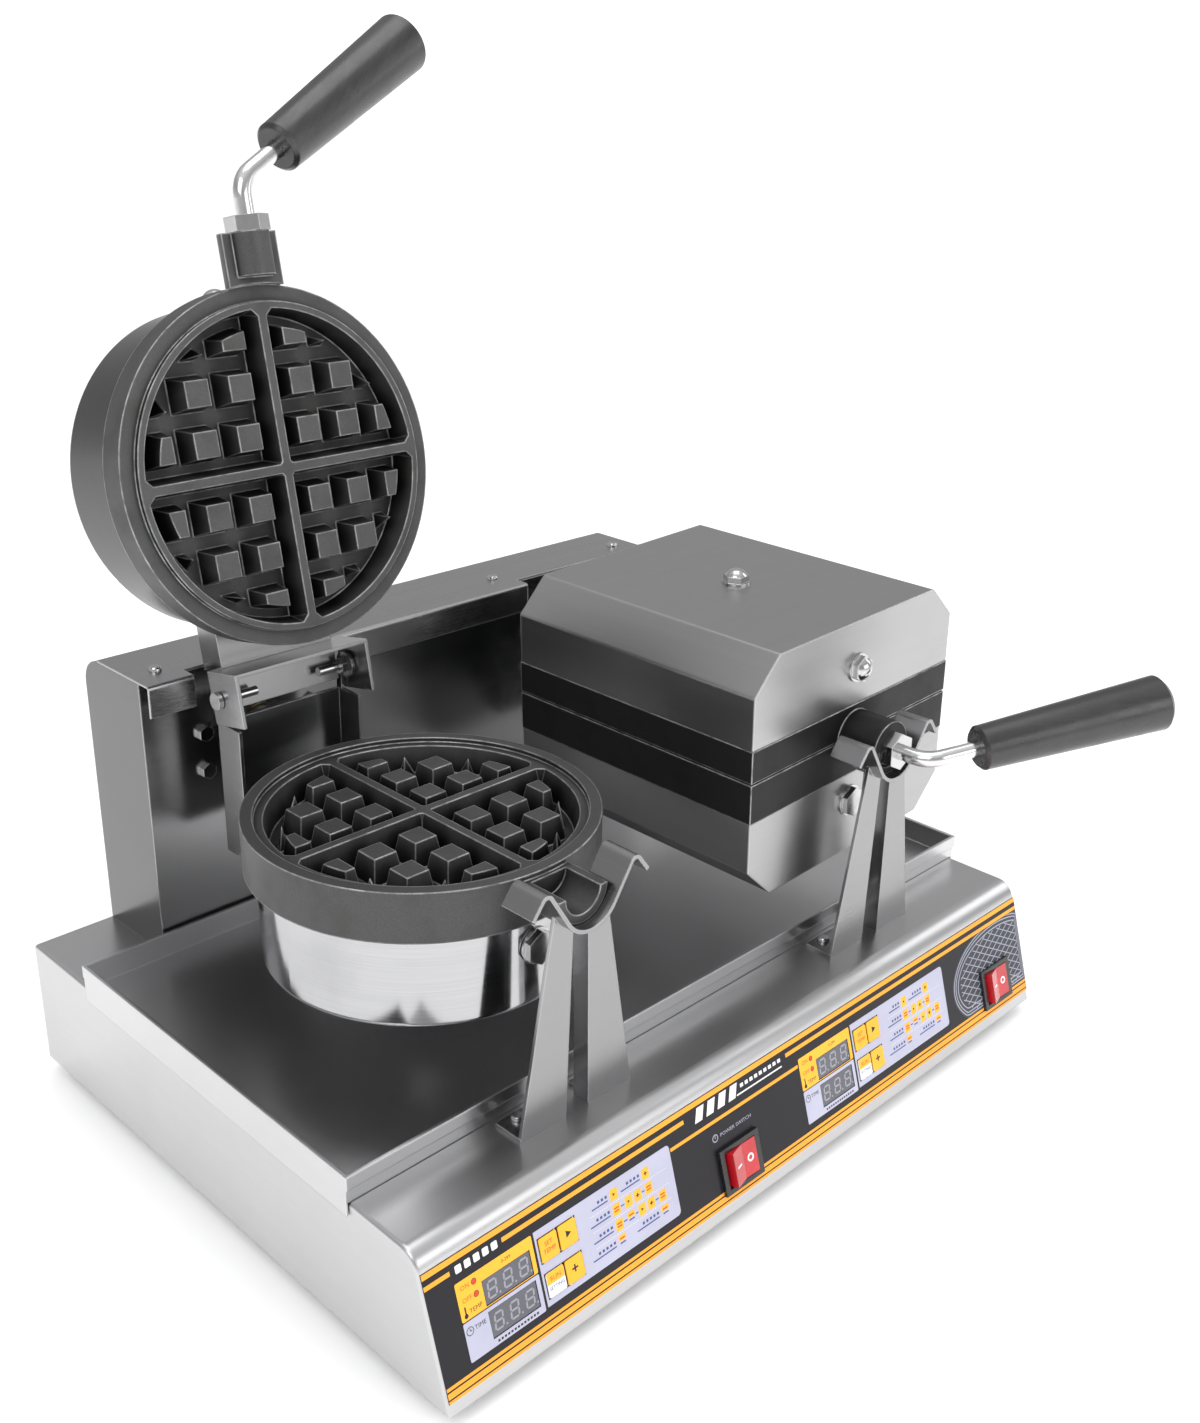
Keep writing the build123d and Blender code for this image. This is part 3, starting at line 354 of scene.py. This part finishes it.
looks = {
    "base_shell": STEEL, "base_bottom_plate": STEEL, "rubber_feet": RUBBER, "cable_gland": GLAND,
    "housing_shell": HOUSING, "housing_cap": CAP, "cap_screws": BRIGHT, "left_bearing": BRONZE,
    "right_bearing": BRONZE, "bearing_bolts": BRIGHT, "left_cradle": BRACKET, "right_cradle": BRACKET,
    "cradle_screws": BRIGHT, "control_overlay": NAVY, "left_display": SMOKED, "right_display": SMOKED,
    "left_control_board": BOARD, "right_control_board": BOARD, "power_board": BOARD,
    "power_switch_frame": BLACK, "auxiliary_switch_frame": BLACK, "power_rocker": RED,
    "auxiliary_rocker": RED, "drip_tray": TRAY,
}
for side in SIDES:
    for part in ("set_temp", "next", "plus"):
        looks[f"{side}_{part}_key"] = AMBER
    looks[f"{side}_run_key"] = WHITE
    for part in ("fork", "lid_bracket"):
        looks[f"{side}_{part}"] = BRACKET
    for part in ("lower_plate", "upper_plate"):
        # The right plates take the darker copy of the coat, which is painted shade.
        looks[f"{side}_{part}"] = CAST if side == "left" else SHADED_NONSTICK
    for part in ("hinge_pins", "lower_bolts", "upper_cap_nuts", "lock_nut"):
        looks[f"{side}_{part}"] = BRIGHT
    for part in ("lower_heater", "upper_heater"):
        looks[f"{side}_{part}"] = SHEATH
    looks[f"{side}_handle_rod"] = ROD
looks["left_lower_casing"] = POLISH
looks["left_upper_casing"] = DARK
looks["right_lower_casing"] = COVER
looks["right_upper_casing"] = COVER


def axis_of(grip, rod):
    """The way a grip points, from the middle of its rod to its own middle."""
    return (middle(grip) - middle(rod)).normalized()


for side in SIDES:
    grip = f"{side}_handle_grip"
    looks[grip] = phenolic(f"{side}_phenolic", axis_of(grip, f"{side}_handle_rod"))
for node, material in looks.items():
    mesh = NODES[node].data
    mesh.materials.clear()
    mesh.materials.append(material)

# ---------------------------------------------------------------- sloped panel
RUN, RISE = 23.0, 75.0
SLANT = math.hypot(RUN, RISE)
shell_low, shell_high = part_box("base_shell")
panel_origin = Vector(((shell_low[0] + shell_high[0]) / 2, shell_low[1], shell_low[2]))
panel_turn = Matrix((
    (1, 0, 0),
    (0, RUN / SLANT, -RISE / SLANT),
    (0, RISE / SLANT, RUN / SLANT),
))
PANEL = Matrix.Translation(panel_origin) @ panel_turn.to_4x4() @ Matrix.Scale(MM, 4)
FILM = 0.4
PITCH = 240
CORNER_STEPS = 5
LEFT_CORNERS, RIGHT_CORNERS, TOP_CORNERS = (1, 0, 0, 1), (0, 1, 1, 0), (0, 0, 1, 1)


def rectangle(u, v, radius=0.0, corners=(1, 1, 1, 1)):
    """Corner points of a rectangle, rounded where corners says (from lower left, anticlockwise)."""
    points = []
    middles = [(u[0], v[0], 180), (u[1], v[0], 270), (u[1], v[1], 0), (u[0], v[1], 90)]
    for (x, y, start), rounded in zip(middles, corners):
        if not rounded or radius <= 0:
            points.append((x, y))
            continue
        inward_x = radius if x == u[0] else -radius
        inward_y = radius if y == v[0] else -radius
        for step in range(CORNER_STEPS + 1):
            angle = math.radians(start + 90 / CORNER_STEPS * step)
            points.append((x + inward_x + radius * math.cos(angle), y + inward_y + radius * math.sin(angle)))
    return points


def ellipse(u, v, half_u, half_v, steps):
    turn = 2 * math.pi / steps
    return [(u + half_u * math.cos(turn * i), v + half_v * math.sin(turn * i)) for i in range(steps)]


def disc(u, v, radius, steps=28):
    return ellipse(u, v, radius, radius, steps)


def arrow_head(u, v, back, tip, half):
    """A triangle that points to the right."""
    return [(u - back, v - half), (u + tip, v), (u - back, v + half)]


def cross(u, v, reach, half):
    """A plus sign with arms of one length and half width."""
    quarter = [(reach, -half), (reach, half), (half, half)]
    points = []
    for _ in range(4):
        points += [(u + x, v + y) for x, y in quarter]
        quarter = [(-y, x) for x, y in quarter]
    return points


class Print:
    """Flat marks of one colour, each a very thin closed prism on the panel."""

    def __init__(self, name, material, matrix=PANEL, body="base", slot="control_overlay"):
        self.name, self.material, self.matrix = name, material, matrix
        self.body, self.slot = body, slot
        self.mesh = bmesh.new()

    def area(self, points, low, high):
        floor = [self.mesh.verts.new((x, y, low)) for x, y in points]
        roof = [self.mesh.verts.new((x, y, high)) for x, y in points]
        self.mesh.faces.new(list(reversed(floor)))
        self.mesh.faces.new(roof)
        for i in range(len(points)):
            j = (i + 1) % len(points)
            self.mesh.faces.new((floor[i], floor[j], roof[j], roof[i]))

    def band(self, outer, inner, low, high):
        """A closed loop between an outer and an inner outline with as many points."""
        count = len(outer)
        rings = [[self.mesh.verts.new((x, y, z)) for x, y in loop]
                 for loop, z in ((outer, low), (outer, high), (inner, high), (inner, low))]
        for ring, following in zip(rings, rings[1:] + rings[:1]):
            for i in range(count):
                j = (i + 1) % count
                self.mesh.faces.new((ring[i], ring[j], following[j], following[i]))

    def line(self, start, end, width, low, high):
        a, b = Vector(start), Vector(end)
        across = Vector((a.y - b.y, b.x - a.x)).normalized() * width / 2
        self.area([tuple(a - across), tuple(b - across), tuple(b + across), tuple(a + across)], low, high)

    def text(self, words, u, v, size, low, high, stretch=1.0):
        """Plain capitals centred on a point."""
        curve = bpy.data.curves.new("words", "FONT")
        curve.body = words
        curve.size = size
        curve.align_x, curve.align_y = "CENTER", "CENTER"
        curve.extrude = (high - low) / 2
        curve.resolution_u = 2
        holder = bpy.data.objects.new("words", curve)
        bpy.context.scene.collection.objects.link(holder)
        bpy.context.view_layer.update()
        solid = bpy.data.meshes.new_from_object(holder.evaluated_get(bpy.context.evaluated_depsgraph_get()))
        place = Matrix.Translation((u, v, (low + high) / 2)) @ Matrix.Diagonal((stretch, 1, 1, 1))
        solid.transform(place)
        self.mesh.from_mesh(solid)
        bpy.data.objects.remove(holder)
        bpy.data.curves.remove(curve)
        bpy.data.meshes.remove(solid)

    def finish(self):
        bmesh.ops.recalc_face_normals(self.mesh, faces=self.mesh.faces)
        mesh = bpy.data.meshes.new(self.name)
        self.mesh.to_mesh(mesh)
        self.mesh.free()
        mesh.transform(self.matrix)
        mesh.materials.append(self.material)
        item = bpy.data.objects.new(self.name, mesh)
        bpy.context.scene.collection.objects.link(item)
        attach(item, self.body)
        return item


inks = {
    "orange": Print("print_orange", ORANGE), "amber": Print("print_amber", AMBER),
    "pale": Print("print_pale", PALE), "white": Print("print_white", WHITE), "ink": Print("print_ink", INK),
    "slate": Print("print_slate", SLATE), "grey": Print("print_grey", GREY_INK),
    "segments": Print("display_segments", SEGMENT), "blue": Print("print_blue", BLUE_INK),
    "red": Print("print_red", RED_INK),
}
# A mark starts a little inside the film, and a mark on a higher layer covers the ones below it.
SINK = 0.02
LOW = FILM - SINK
LAYER_START, LAYER_STEP = 0.03, 0.02
LAYER = [FILM + LAYER_START + LAYER_STEP * i for i in range(6)]


def mark(colour, points, layer):
    inks[colour].area(points, LOW, LAYER[layer])


def ring(colour, outer, inner, layer):
    inks[colour].band(outer, inner, LOW, LAYER[layer])


def stroke(colour, start, end, width, layer):
    inks[colour].line(start, end, width, LOW, LAYER[layer])


def write(colour, words, u, v, size, layer, stretch=1.0):
    inks[colour].text(words, u, v, size, LOW, LAYER[layer], stretch)


def row_of_blocks(colour, left, width, pitch, count, v, layer, radius=0.0):
    """Equal blocks side by side, from the left edge of the first one."""
    for i in range(count):
        u = left + pitch * i
        mark(colour, rectangle((u, u + width), v, radius), layer)


# Stripes along the top and the bottom, each with its ends in u and in v
EDGE = 238.8
STRIPES = [
    ((-EDGE, EDGE), (65.7, 68.4)),
    ((-EDGE, -224.5), (60.6, 62.8)),
    ((-194.5, -73.6), (60.6, 62.8)),
    ((7.4, EDGE), (60.8, 63.0)),
    ((-85.7, 15.4), (51.3, 53.1)),
    ((-EDGE, EDGE), (12.2, 13.8)),
    ((-EDGE, EDGE), (8.5, 11.3)),
    ((-EDGE, EDGE), (6.35, 7.7)),
]
for across, along in STRIPES:
    mark("orange", rectangle(across, along), 1)

# Plain marks where names would be
SLANTED_BAR = [(0, 57), (5.4, 57), (8.2, 64.4), (2.8, 64.4)]
for i in range(4):
    u = -66 + 8.6 * i
    mark("white", [(u + x, y) for x, y in SLANTED_BAR], 0)
row_of_blocks("white", -30, 2.4, 3.8, 9, (60.6, 62.6), 0)
mark("white", rectangle((-33.5, 3.2), (57.3, 58.1)), 0)
row_of_blocks("white", -221.5, 3.5, 5.2, 5, (59.6, 63.4), 0, 0.6)

# Oval badge behind the auxiliary switch, with a plain lattice
OVAL_U, OVAL_V, OVAL_HALF_U, OVAL_HALF_V = 213.5, 33.0, 52.0, 30.5
OVAL_FLOOR, OVAL_ROOF = 14.0, 60.4
RING_WIDTH = 0.7
LATTICE_PITCH, LATTICE_RISE, LATTICE_WIDTH = 9.0, 0.55, 0.55


def oval(shrink):
    """Outline points of the oval, cut off at the stripes and at the film's edge."""
    points = ellipse(OVAL_U, OVAL_V, OVAL_HALF_U - shrink, OVAL_HALF_V - shrink, 72)
    right, low, high = EDGE - 0.5 * shrink, OVAL_FLOOR + shrink, OVAL_ROOF - 0.02 * shrink
    return [(min(x, right), min(max(y, low), high)) for x, y in points]


def in_lattice(x, y):
    """Whether a point lies inside the innermost ring and clear of the cut edges."""
    in_oval = ((x - OVAL_U) / (OVAL_HALF_U - 8)) ** 2 + ((y - OVAL_V) / (OVAL_HALF_V - 6)) ** 2 < 1
    return in_oval and x < 236 and 16 < y < 57


def lattice():
    """Two families of slanting lines, each line from its first to its last point inside."""
    for way in (1.0, -1.0):
        for index in range(-7, 8):
            points = [(OVAL_U + LATTICE_PITCH * index + way * step, OVAL_V + LATTICE_RISE * step)
                      for step in range(-60, 61)]
            kept = [point for point in points if in_lattice(*point)]
            if len(kept) > 4:
                stroke("grey", kept[0], kept[-1], LATTICE_WIDTH, 2)


mark("slate", oval(0.0), 0)
for shrink in (1.2, 3.0, 5.4):
    ring("grey", oval(shrink), oval(shrink + RING_WIDTH), 1)
lattice()

# Display windows with three unlit figures each
DIGIT_W, DIGIT_H, DIGIT_STROKE, DIGIT_GAP, DIGIT_LEAN = 5.6, 8.6, 1.0, 0.18, 0.10
DIGIT_START, DIGIT_PITCH = 5.0, 9.4
SEGMENT_LOW, SEGMENT_HIGH = 0.15, 0.24
BLOCK_U, WINDOW_U = (-223.6, -178.6), (-209.5, -181)
DISPLAY_BLOCKS = [("amber", (36.9, 55.6), (37.4, 49.6)), ("pale", (17.5, 36.3), (21.2, 34.4))]
SEAM = 0.1


def digit(u, v):
    """An unlit figure eight and its point, leaning a little."""
    w, h, s, gap = DIGIT_W / 2, DIGIT_H / 2, DIGIT_STROKE, DIGIT_GAP
    bars = []
    for y in (-h + s / 2, 0, h - s / 2):
        bars.append([(-w + s / 2 + gap, y), (-w + s + gap, y - s / 2), (w - s - gap, y - s / 2),
                     (w - s / 2 - gap, y), (w - s - gap, y + s / 2), (-w + s + gap, y + s / 2)])
    for x in (-w + s / 2, w - s / 2):
        for low, high in ((-h + s / 2, 0), (0, h - s / 2)):
            bars.append([(x, low + gap), (x + s / 2, low + s / 2 + gap), (x + s / 2, high - s / 2 - gap),
                         (x, high - gap), (x - s / 2, high - s / 2 - gap), (x - s / 2, low + s / 2 + gap)])
    for bar in bars:
        leaning = [(u + x + DIGIT_LEAN * y, v + y) for x, y in bar]
        inks["segments"].area(leaning, SEGMENT_LOW, SEGMENT_HIGH)
    inks["segments"].area(disc(u + w + 1.0, v - h + 0.5, 0.55, 12), SEGMENT_LOW, SEGMENT_HIGH)


def display_blocks(shift):
    """The amber block round the upper window and the pale one round the lower window."""
    left, right = BLOCK_U[0] + shift, BLOCK_U[1] + shift
    window_left, window_right = WINDOW_U[0] + shift, WINDOW_U[1] + shift
    across = (window_left - SEAM, window_right + SEAM)
    for colour, v, window in DISPLAY_BLOCKS:
        mark(colour, rectangle((left, across[0]), v, 0.8, LEFT_CORNERS), 1)
        mark(colour, rectangle((across[1], right), v, 0.8, RIGHT_CORNERS), 1)
        mark(colour, rectangle(across, (v[0], window[0] - SEAM)), 1)
        mark(colour, rectangle(across, (window[1] + SEAM, v[1])), 1)
        for i in range(3):
            digit(window_left + DIGIT_START + DIGIT_PITCH * i, sum(window) / 2)


def display_words(shift):
    """Lamps, words, a thermometer, a clock and a row of small blocks round the windows."""
    lamp_u = -213.4 + shift
    for v, word in ((52.0, "ON"), (46.0, "OFF")):
        mark("red", disc(lamp_u, v, 1.35), 2)
        ring("ink", disc(lamp_u, v, 1.5), disc(lamp_u, v, 1.25), 3)
        write("red", word, -218.6 + shift, v, 3.2, 2)
    write("ink", "TEMP", -215.0 + shift, 40.0, 3.1, 2)
    mark("ink", disc(-220.8 + shift, 38.9, 1.1), 2)
    mark("ink", rectangle((-221.2 + shift, -220.4 + shift), (39.0, 43.4), 0.3), 2)
    write("ink", "0-299", -194.5 + shift, 52.6, 2.4, 2)
    clock_u, clock_v = -220.6 + shift, 31.6
    ring("ink", disc(clock_u, clock_v, 2.1), disc(clock_u, clock_v, 1.75), 2)
    stroke("ink", (clock_u, clock_v), (clock_u, clock_v + 1.4), 0.35, 2)
    stroke("ink", (clock_u, clock_v), (clock_u + 1.1, clock_v), 0.35, 3)
    write("ink", "TIME", -214.6 + shift, clock_v, 3.1, 2)
    row_of_blocks("ink", -207.5 + shift, 1.2, 1.95, 13, (18.6, 19.7), 2)


# Key block, with openings left for the keys
KEY_BLOCK_U, KEY_BLOCK_V = (-177.2, -86.4), (18.3, 55.9)
KEY_GAP_U = (-176.0, -152.0)
KEY_ROWS = ((21.3, 34.3), (39.0, 52.0))


def key_block(shift):
    """The pale block round two rows of keys."""
    left, right = KEY_BLOCK_U[0] + shift, KEY_BLOCK_U[1] + shift
    gap = (KEY_GAP_U[0] + shift, KEY_GAP_U[1] + shift)
    mark("pale", rectangle((left, gap[0]), KEY_BLOCK_V), 1)
    mark("pale", rectangle((gap[1], right), KEY_BLOCK_V, 2.2, RIGHT_CORNERS), 1)
    low_row, high_row = KEY_ROWS
    for v in ((KEY_BLOCK_V[0], low_row[0]), (low_row[1], high_row[0]), (high_row[1], KEY_BLOCK_V[1])):
        mark("pale", rectangle(gap, v), 1)


# Flow chart: each row's height, its tiles, and its captions with the number of marks in each
TILE_HALF_U, TILE_HALF_V = 2.5, 2.9
FLOW_ROWS = [
    (49.4, [(-126.4, "next"), (-104.6, "plus")], [(-130.5, 3), (-108.4, 4)]),
    (41.5, [(-126.4, "text"), (-118.2, "next"), (-111.9, "plus"), (-104.2, "text")], [(-130.5, 4)]),
    (33.4, [(-126.4, "text"), (-118.2, "half"), (-110.6, "next"), (-104.2, "plus"), (-96.2, "text")],
     [(-130.5, 4)]),
    (25.4, [(-126.4, "half"), (-96.2, "half")], [(-130.5, 5), (-100.4, 5)]),
]
JOINED = (6.6, 9)


def caption_bars(u, v, count):
    """Small square marks over a thin line, in place of a caption."""
    for i in range(count):
        x = u - 1.1 - 2.5 * i
        mark("blue", rectangle((x - 0.7, x + 0.7), (v + 0.3, v + 1.7)), 2)
    width = 2.5 * count + 3.4
    mark("blue", rectangle((u - width, u - 0.3), (v - 1.5, v - 0.8)), 2)


def tile(u, v, kind):
    """One step of the flow chart."""
    across, along = (u - TILE_HALF_U, u + TILE_HALF_U), (v - TILE_HALF_V, v + TILE_HALF_V)
    if kind == "half":
        mark("pale", rectangle(across, along, 0.7), 2)
        mark("amber", rectangle(across, (v, along[1]), 0.7, TOP_CORNERS), 3)
        mark("red", rectangle((u - 1.7, u + 1.7), (v + 0.7, v + 1.5)), 4)
        mark("blue", rectangle((u - 1.8, u + 1.8), (v - 1.5, v - 0.8)), 4)
        return
    mark("amber", rectangle(across, along, 0.7), 2)
    if kind == "text":
        for offset in (-1.1, 0.4):
            mark("red", rectangle((u - 1.6, u + 1.6), (v + offset, v + offset + 0.75)), 3)
    elif kind == "next":
        mark("ink", arrow_head(u, v, 0.72, 0.84, 0.84), 3)
    else:
        mark("ink", rectangle((u - 1.1, u + 1.1), (v - 0.3, v + 0.3)), 3)
        mark("ink", rectangle((u - 0.3, u + 0.3), (v - 1.1, v + 1.1)), 4)


def flow_chart(shift):
    """Rows of tiles with captions, near tiles joined by a line, and dotted lines between the rows."""
    for v, tiles, captions in FLOW_ROWS:
        for u, kind in tiles:
            tile(u + shift, v, kind)
        for u, count in captions:
            caption_bars(u + shift, v, count)
        for (left, _), (right, _) in zip(tiles, tiles[1:]):
            if JOINED[0] < right - left < JOINED[1]:
                mark("blue", rectangle((left + 2.9 + shift, right - 2.9 + shift), (v - 0.3, v + 0.3)), 2)
    for v in (45.5, 37.5, 29.4):
        row_of_blocks("white", -143 + shift, 0.7, 1.55, 34, (v - 0.12, v + 0.12), 2)


for shift in (0, PITCH):
    display_blocks(shift)
    display_words(shift)
    key_block(shift)
    flow_chart(shift)

# Words and symbol over the main switch
power_low, power_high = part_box("power_switch_frame")
power_u = ((power_low[0] + power_high[0]) / 2 - panel_origin.x) / MM
symbol_u = power_u - 14.2
ring("grey", disc(symbol_u, 43.5, 2.1), disc(symbol_u, 43.5, 1.6), 1)
stroke("grey", (symbol_u, 43.2), (symbol_u, 44.8), 0.5, 1)
write("grey", "POWER SWITCH", power_u + 1.8, 43.4, 2.7, 1, 1.2)
for ink in inks.values():
    ink.finish()

# ---------------------------------------------------------------- keys and rockers
KEY_TOP = 1.0
KEY_LOW, KEY_PATCH, KEY_INK, KEY_OVER = KEY_TOP - SINK, KEY_TOP + 0.03, KEY_TOP + 0.04, KEY_TOP + 0.06


def on_panel(node):
    """Where a node's middle lies on the panel."""
    spot = PANEL.inverted() @ middle(node)
    return spot.x, spot.y


def key_print(key, name, material):
    """Marks that move with one key. Key is its node's name without the last word."""
    return Print(f"{key}_{name}", material, PANEL, f"{key}_key", f"{key}_key")


for side in SIDES:
    u, v = on_panel(f"{side}_set_temp_key")
    words = key_print(f"{side}_set_temp", "words", RED_INK)
    words.text("SET", u, v + 1.8, 3.2, KEY_LOW, KEY_INK)
    words.text("TEMP", u, v - 1.8, 3.2, KEY_LOW, KEY_INK)
    words.finish()
    sign = key_print(f"{side}_next", "sign", INK)
    sign.area(arrow_head(*on_panel(f"{side}_next_key"), 1.3, 1.9, 1.8), KEY_LOW, KEY_INK)
    sign.finish()
    sign = key_print(f"{side}_plus", "sign", INK)
    sign.area(cross(*on_panel(f"{side}_plus_key"), 1.9, 0.45), KEY_LOW, KEY_INK)
    sign.finish()
    u, v = on_panel(f"{side}_run_key")
    patch = key_print(f"{side}_run", "patch", AMBER)
    patch.area(rectangle((u - 5.3, u + 5.3), (v, v + 5.85), 0.9, TOP_CORNERS), KEY_LOW, KEY_PATCH)
    patch.finish()
    words = key_print(f"{side}_run", "words", RED_INK)
    words.text("RUN", u, v + 2.3, 3.2, KEY_LOW, KEY_OVER)
    words.finish()
    words = key_print(f"{side}_run", "setting", BLUE_INK)
    words.text("SETTING", u, v - 2.2, 2.5, KEY_LOW, KEY_INK, 0.95)
    words.finish()

# Each rocker is V-shaped: two faces rise from a dip in the middle to a ridge at either end.
ROCKER_PIVOT = -5.0
ROCKER_TIP = math.radians(8)
ROCKER_HALF, ROCKER_RIDGE, ROCKER_DIP = 10.2, 4.2, 2.4
ROCKER_SLOPE = math.atan2(ROCKER_RIDGE - ROCKER_DIP, ROCKER_HALF)
ROCKER_V = {"power": 23.8, "auxiliary": 24.1}
STAMP_LOW, STAMP_HIGH = -0.05, 0.12


def rocker_face(name, way):
    """The frame of a rocker's left (-1) or right (1) face."""
    pivot = Matrix.Translation((on_panel(f"{name}_switch_frame")[0], ROCKER_V[name], ROCKER_PIVOT))
    tipped = pivot @ Matrix.Rotation(ROCKER_TIP, 4, "Y") @ Matrix.Translation((0, 0, -ROCKER_PIVOT))
    on_face = Matrix.Translation((way * ROCKER_HALF / 2, 0, (ROCKER_RIDGE + ROCKER_DIP) / 2))
    return PANEL @ tipped @ on_face @ Matrix.Rotation(-way * ROCKER_SLOPE, 4, "Y")


for name in ROCKER_V:
    node = f"{name}_rocker"
    bar = Print(f"{node}_bar", WHITE, rocker_face(name, -1), node, node)
    bar.area(rectangle((-2.4, 2.4), (-0.45, 0.45), 0.3), STAMP_LOW, STAMP_HIGH)
    bar.finish()
    circle = Print(f"{node}_ring", WHITE, rocker_face(name, 1), node, node)
    circle.band(disc(0, 0, 2.3), disc(0, 0, 1.3), STAMP_LOW, STAMP_HIGH)
    circle.finish()

# ---------------------------------------------------------------- floor, light and camera
FLOOR_REACH, FLOOR_DROP = 14.0, -0.0004
floor_mesh = bpy.data.meshes.new("floor")
corners = [(x * FLOOR_REACH, y * FLOOR_REACH, FLOOR_DROP) for x, y in ((-1, -1), (1, -1), (1, 1), (-1, 1))]
floor_mesh.from_pydata(corners, [], [(0, 1, 2, 3)])
floor = bpy.data.objects.new("floor", floor_mesh)
bpy.context.scene.collection.objects.link(floor)
g = Graph("pale_floor")
g.set("Base Color", g.blend(g.noise(3, detail=2), (0.88, 0.88, 0.88), (0.91, 0.91, 0.91)))
g.set("Roughness", 0.7)
floor_mesh.materials.append(g.material)

PLAIN_STRENGTH = 1.3
SKY_FLOOR = -0.2
SKY_STOPS = [(0.0, 0.75), (0.17, 0.75), (0.27, 0.5), (0.50, 0.38), (0.72, 0.55), (1.0, 0.9)]


def studio():
    """A plain white surround for the camera and for diffuse light, and banded greys for reflections."""
    world = bpy.data.worlds.new("studio")
    bpy.context.scene.world = world
    world.use_nodes = True
    tree = world.node_tree
    tree.nodes.clear()
    out = tree.nodes.new("ShaderNodeOutputWorld")
    sky = tree.nodes.new("ShaderNodeBackground")
    place = tree.nodes.new("ShaderNodeTexCoord")
    split = tree.nodes.new("ShaderNodeSeparateXYZ")
    ramp = tree.nodes.new("ShaderNodeValToRGB")
    rise = tree.nodes.new("ShaderNodeMapRange")
    rise.inputs["From Min"].default_value = SKY_FLOOR
    rise.inputs["From Max"].default_value = 1.0
    while len(ramp.color_ramp.elements) < len(SKY_STOPS):
        ramp.color_ramp.elements.new(0.5)
    for element, (position, value) in zip(ramp.color_ramp.elements, SKY_STOPS):
        element.position = position
        element.color = (value, value, value * 1.01, 1.0)
    plain = tree.nodes.new("ShaderNodeBackground")
    plain.inputs["Color"].default_value = (1.0, 1.0, 1.0, 1.0)
    plain.inputs["Strength"].default_value = PLAIN_STRENGTH
    path = tree.nodes.new("ShaderNodeLightPath")
    direct = tree.nodes.new("ShaderNodeMath")
    direct.operation = "MAXIMUM"
    choose = tree.nodes.new("ShaderNodeMixShader")
    for start, end in (
        (place.outputs["Generated"], split.inputs[0]),
        (split.outputs["Z"], rise.inputs["Value"]),
        (rise.outputs["Result"], ramp.inputs["Fac"]),
        (ramp.outputs["Color"], sky.inputs["Color"]),
        (path.outputs["Is Camera Ray"], direct.inputs[0]),
        (path.outputs["Is Diffuse Ray"], direct.inputs[1]),
        (direct.outputs[0], choose.inputs["Fac"]),
        (sky.outputs["Background"], choose.inputs[1]),
        (plain.outputs["Background"], choose.inputs[2]),
        (choose.outputs["Shader"], out.inputs["Surface"]),
    ):
        tree.links.new(start, end)


def softbox(name, where, aim, size, power):
    light = bpy.data.lights.new(name, "AREA")
    light.shape = "RECTANGLE"
    light.size, light.size_y = size
    light.energy = power
    lamp = bpy.data.objects.new(name, light)
    bpy.context.scene.collection.objects.link(lamp)
    lamp.location = where
    lamp.rotation_euler = (Vector(aim) - Vector(where)).to_track_quat("-Z", "Y").to_euler()


studio()
softbox("key", (-1.5, -0.5, 1.7), (0, 0, 0.2), (1.3, 1.3), 11)
softbox("front", (0.5, -1.9, 0.9), (0, 0, 0.15), (1.6, 0.9), 8)
softbox("top", (0.2, 0.2, 2.1), (0, 0, 0.2), (1.2, 1.2), 7)
softbox("rim", (1.9, -0.7, 1.2), (0, 0, 0.2), (0.8, 1.2), 5)

# The camera looks at a point given from the middle of the chassis on the floor.
AZIMUTH, ELEVATION, ROLL = (math.radians(angle) for angle in (-45.589, 22.635, 1.422))
AIM = Vector((0.005997, -0.021654, 0.221936))
TARGET = Vector(((shell_low[0] + shell_high[0]) / 2, (shell_low[1] + shell_high[1]) / 2, 0)) + AIM
DISTANCE = 0.846256
FOCAL_LENGTH, SENSOR_WIDTH, NEAR = 38.678, 36, 0.02
flat = math.cos(ELEVATION)
back = Vector((math.sin(AZIMUTH) * flat, -math.cos(AZIMUTH) * flat, math.sin(ELEVATION)))
level = Vector((math.cos(AZIMUTH), math.sin(AZIMUTH), 0))
above = back.cross(level)
right = level * math.cos(ROLL) + above * math.sin(ROLL)
up = above * math.cos(ROLL) - level * math.sin(ROLL)
lens = bpy.data.cameras.new("camera")
lens.lens = FOCAL_LENGTH
lens.sensor_width = SENSOR_WIDTH
lens.clip_start = NEAR
camera = bpy.data.objects.new("camera", lens)
bpy.context.scene.collection.objects.link(camera)
turn = Matrix((right, up, back)).transposed()
camera.matrix_world = Matrix.Translation(TARGET + back * DISTANCE) @ turn.to_4x4()
bpy.context.scene.camera = camera

bpy.context.scene.view_settings.view_transform = "Standard"
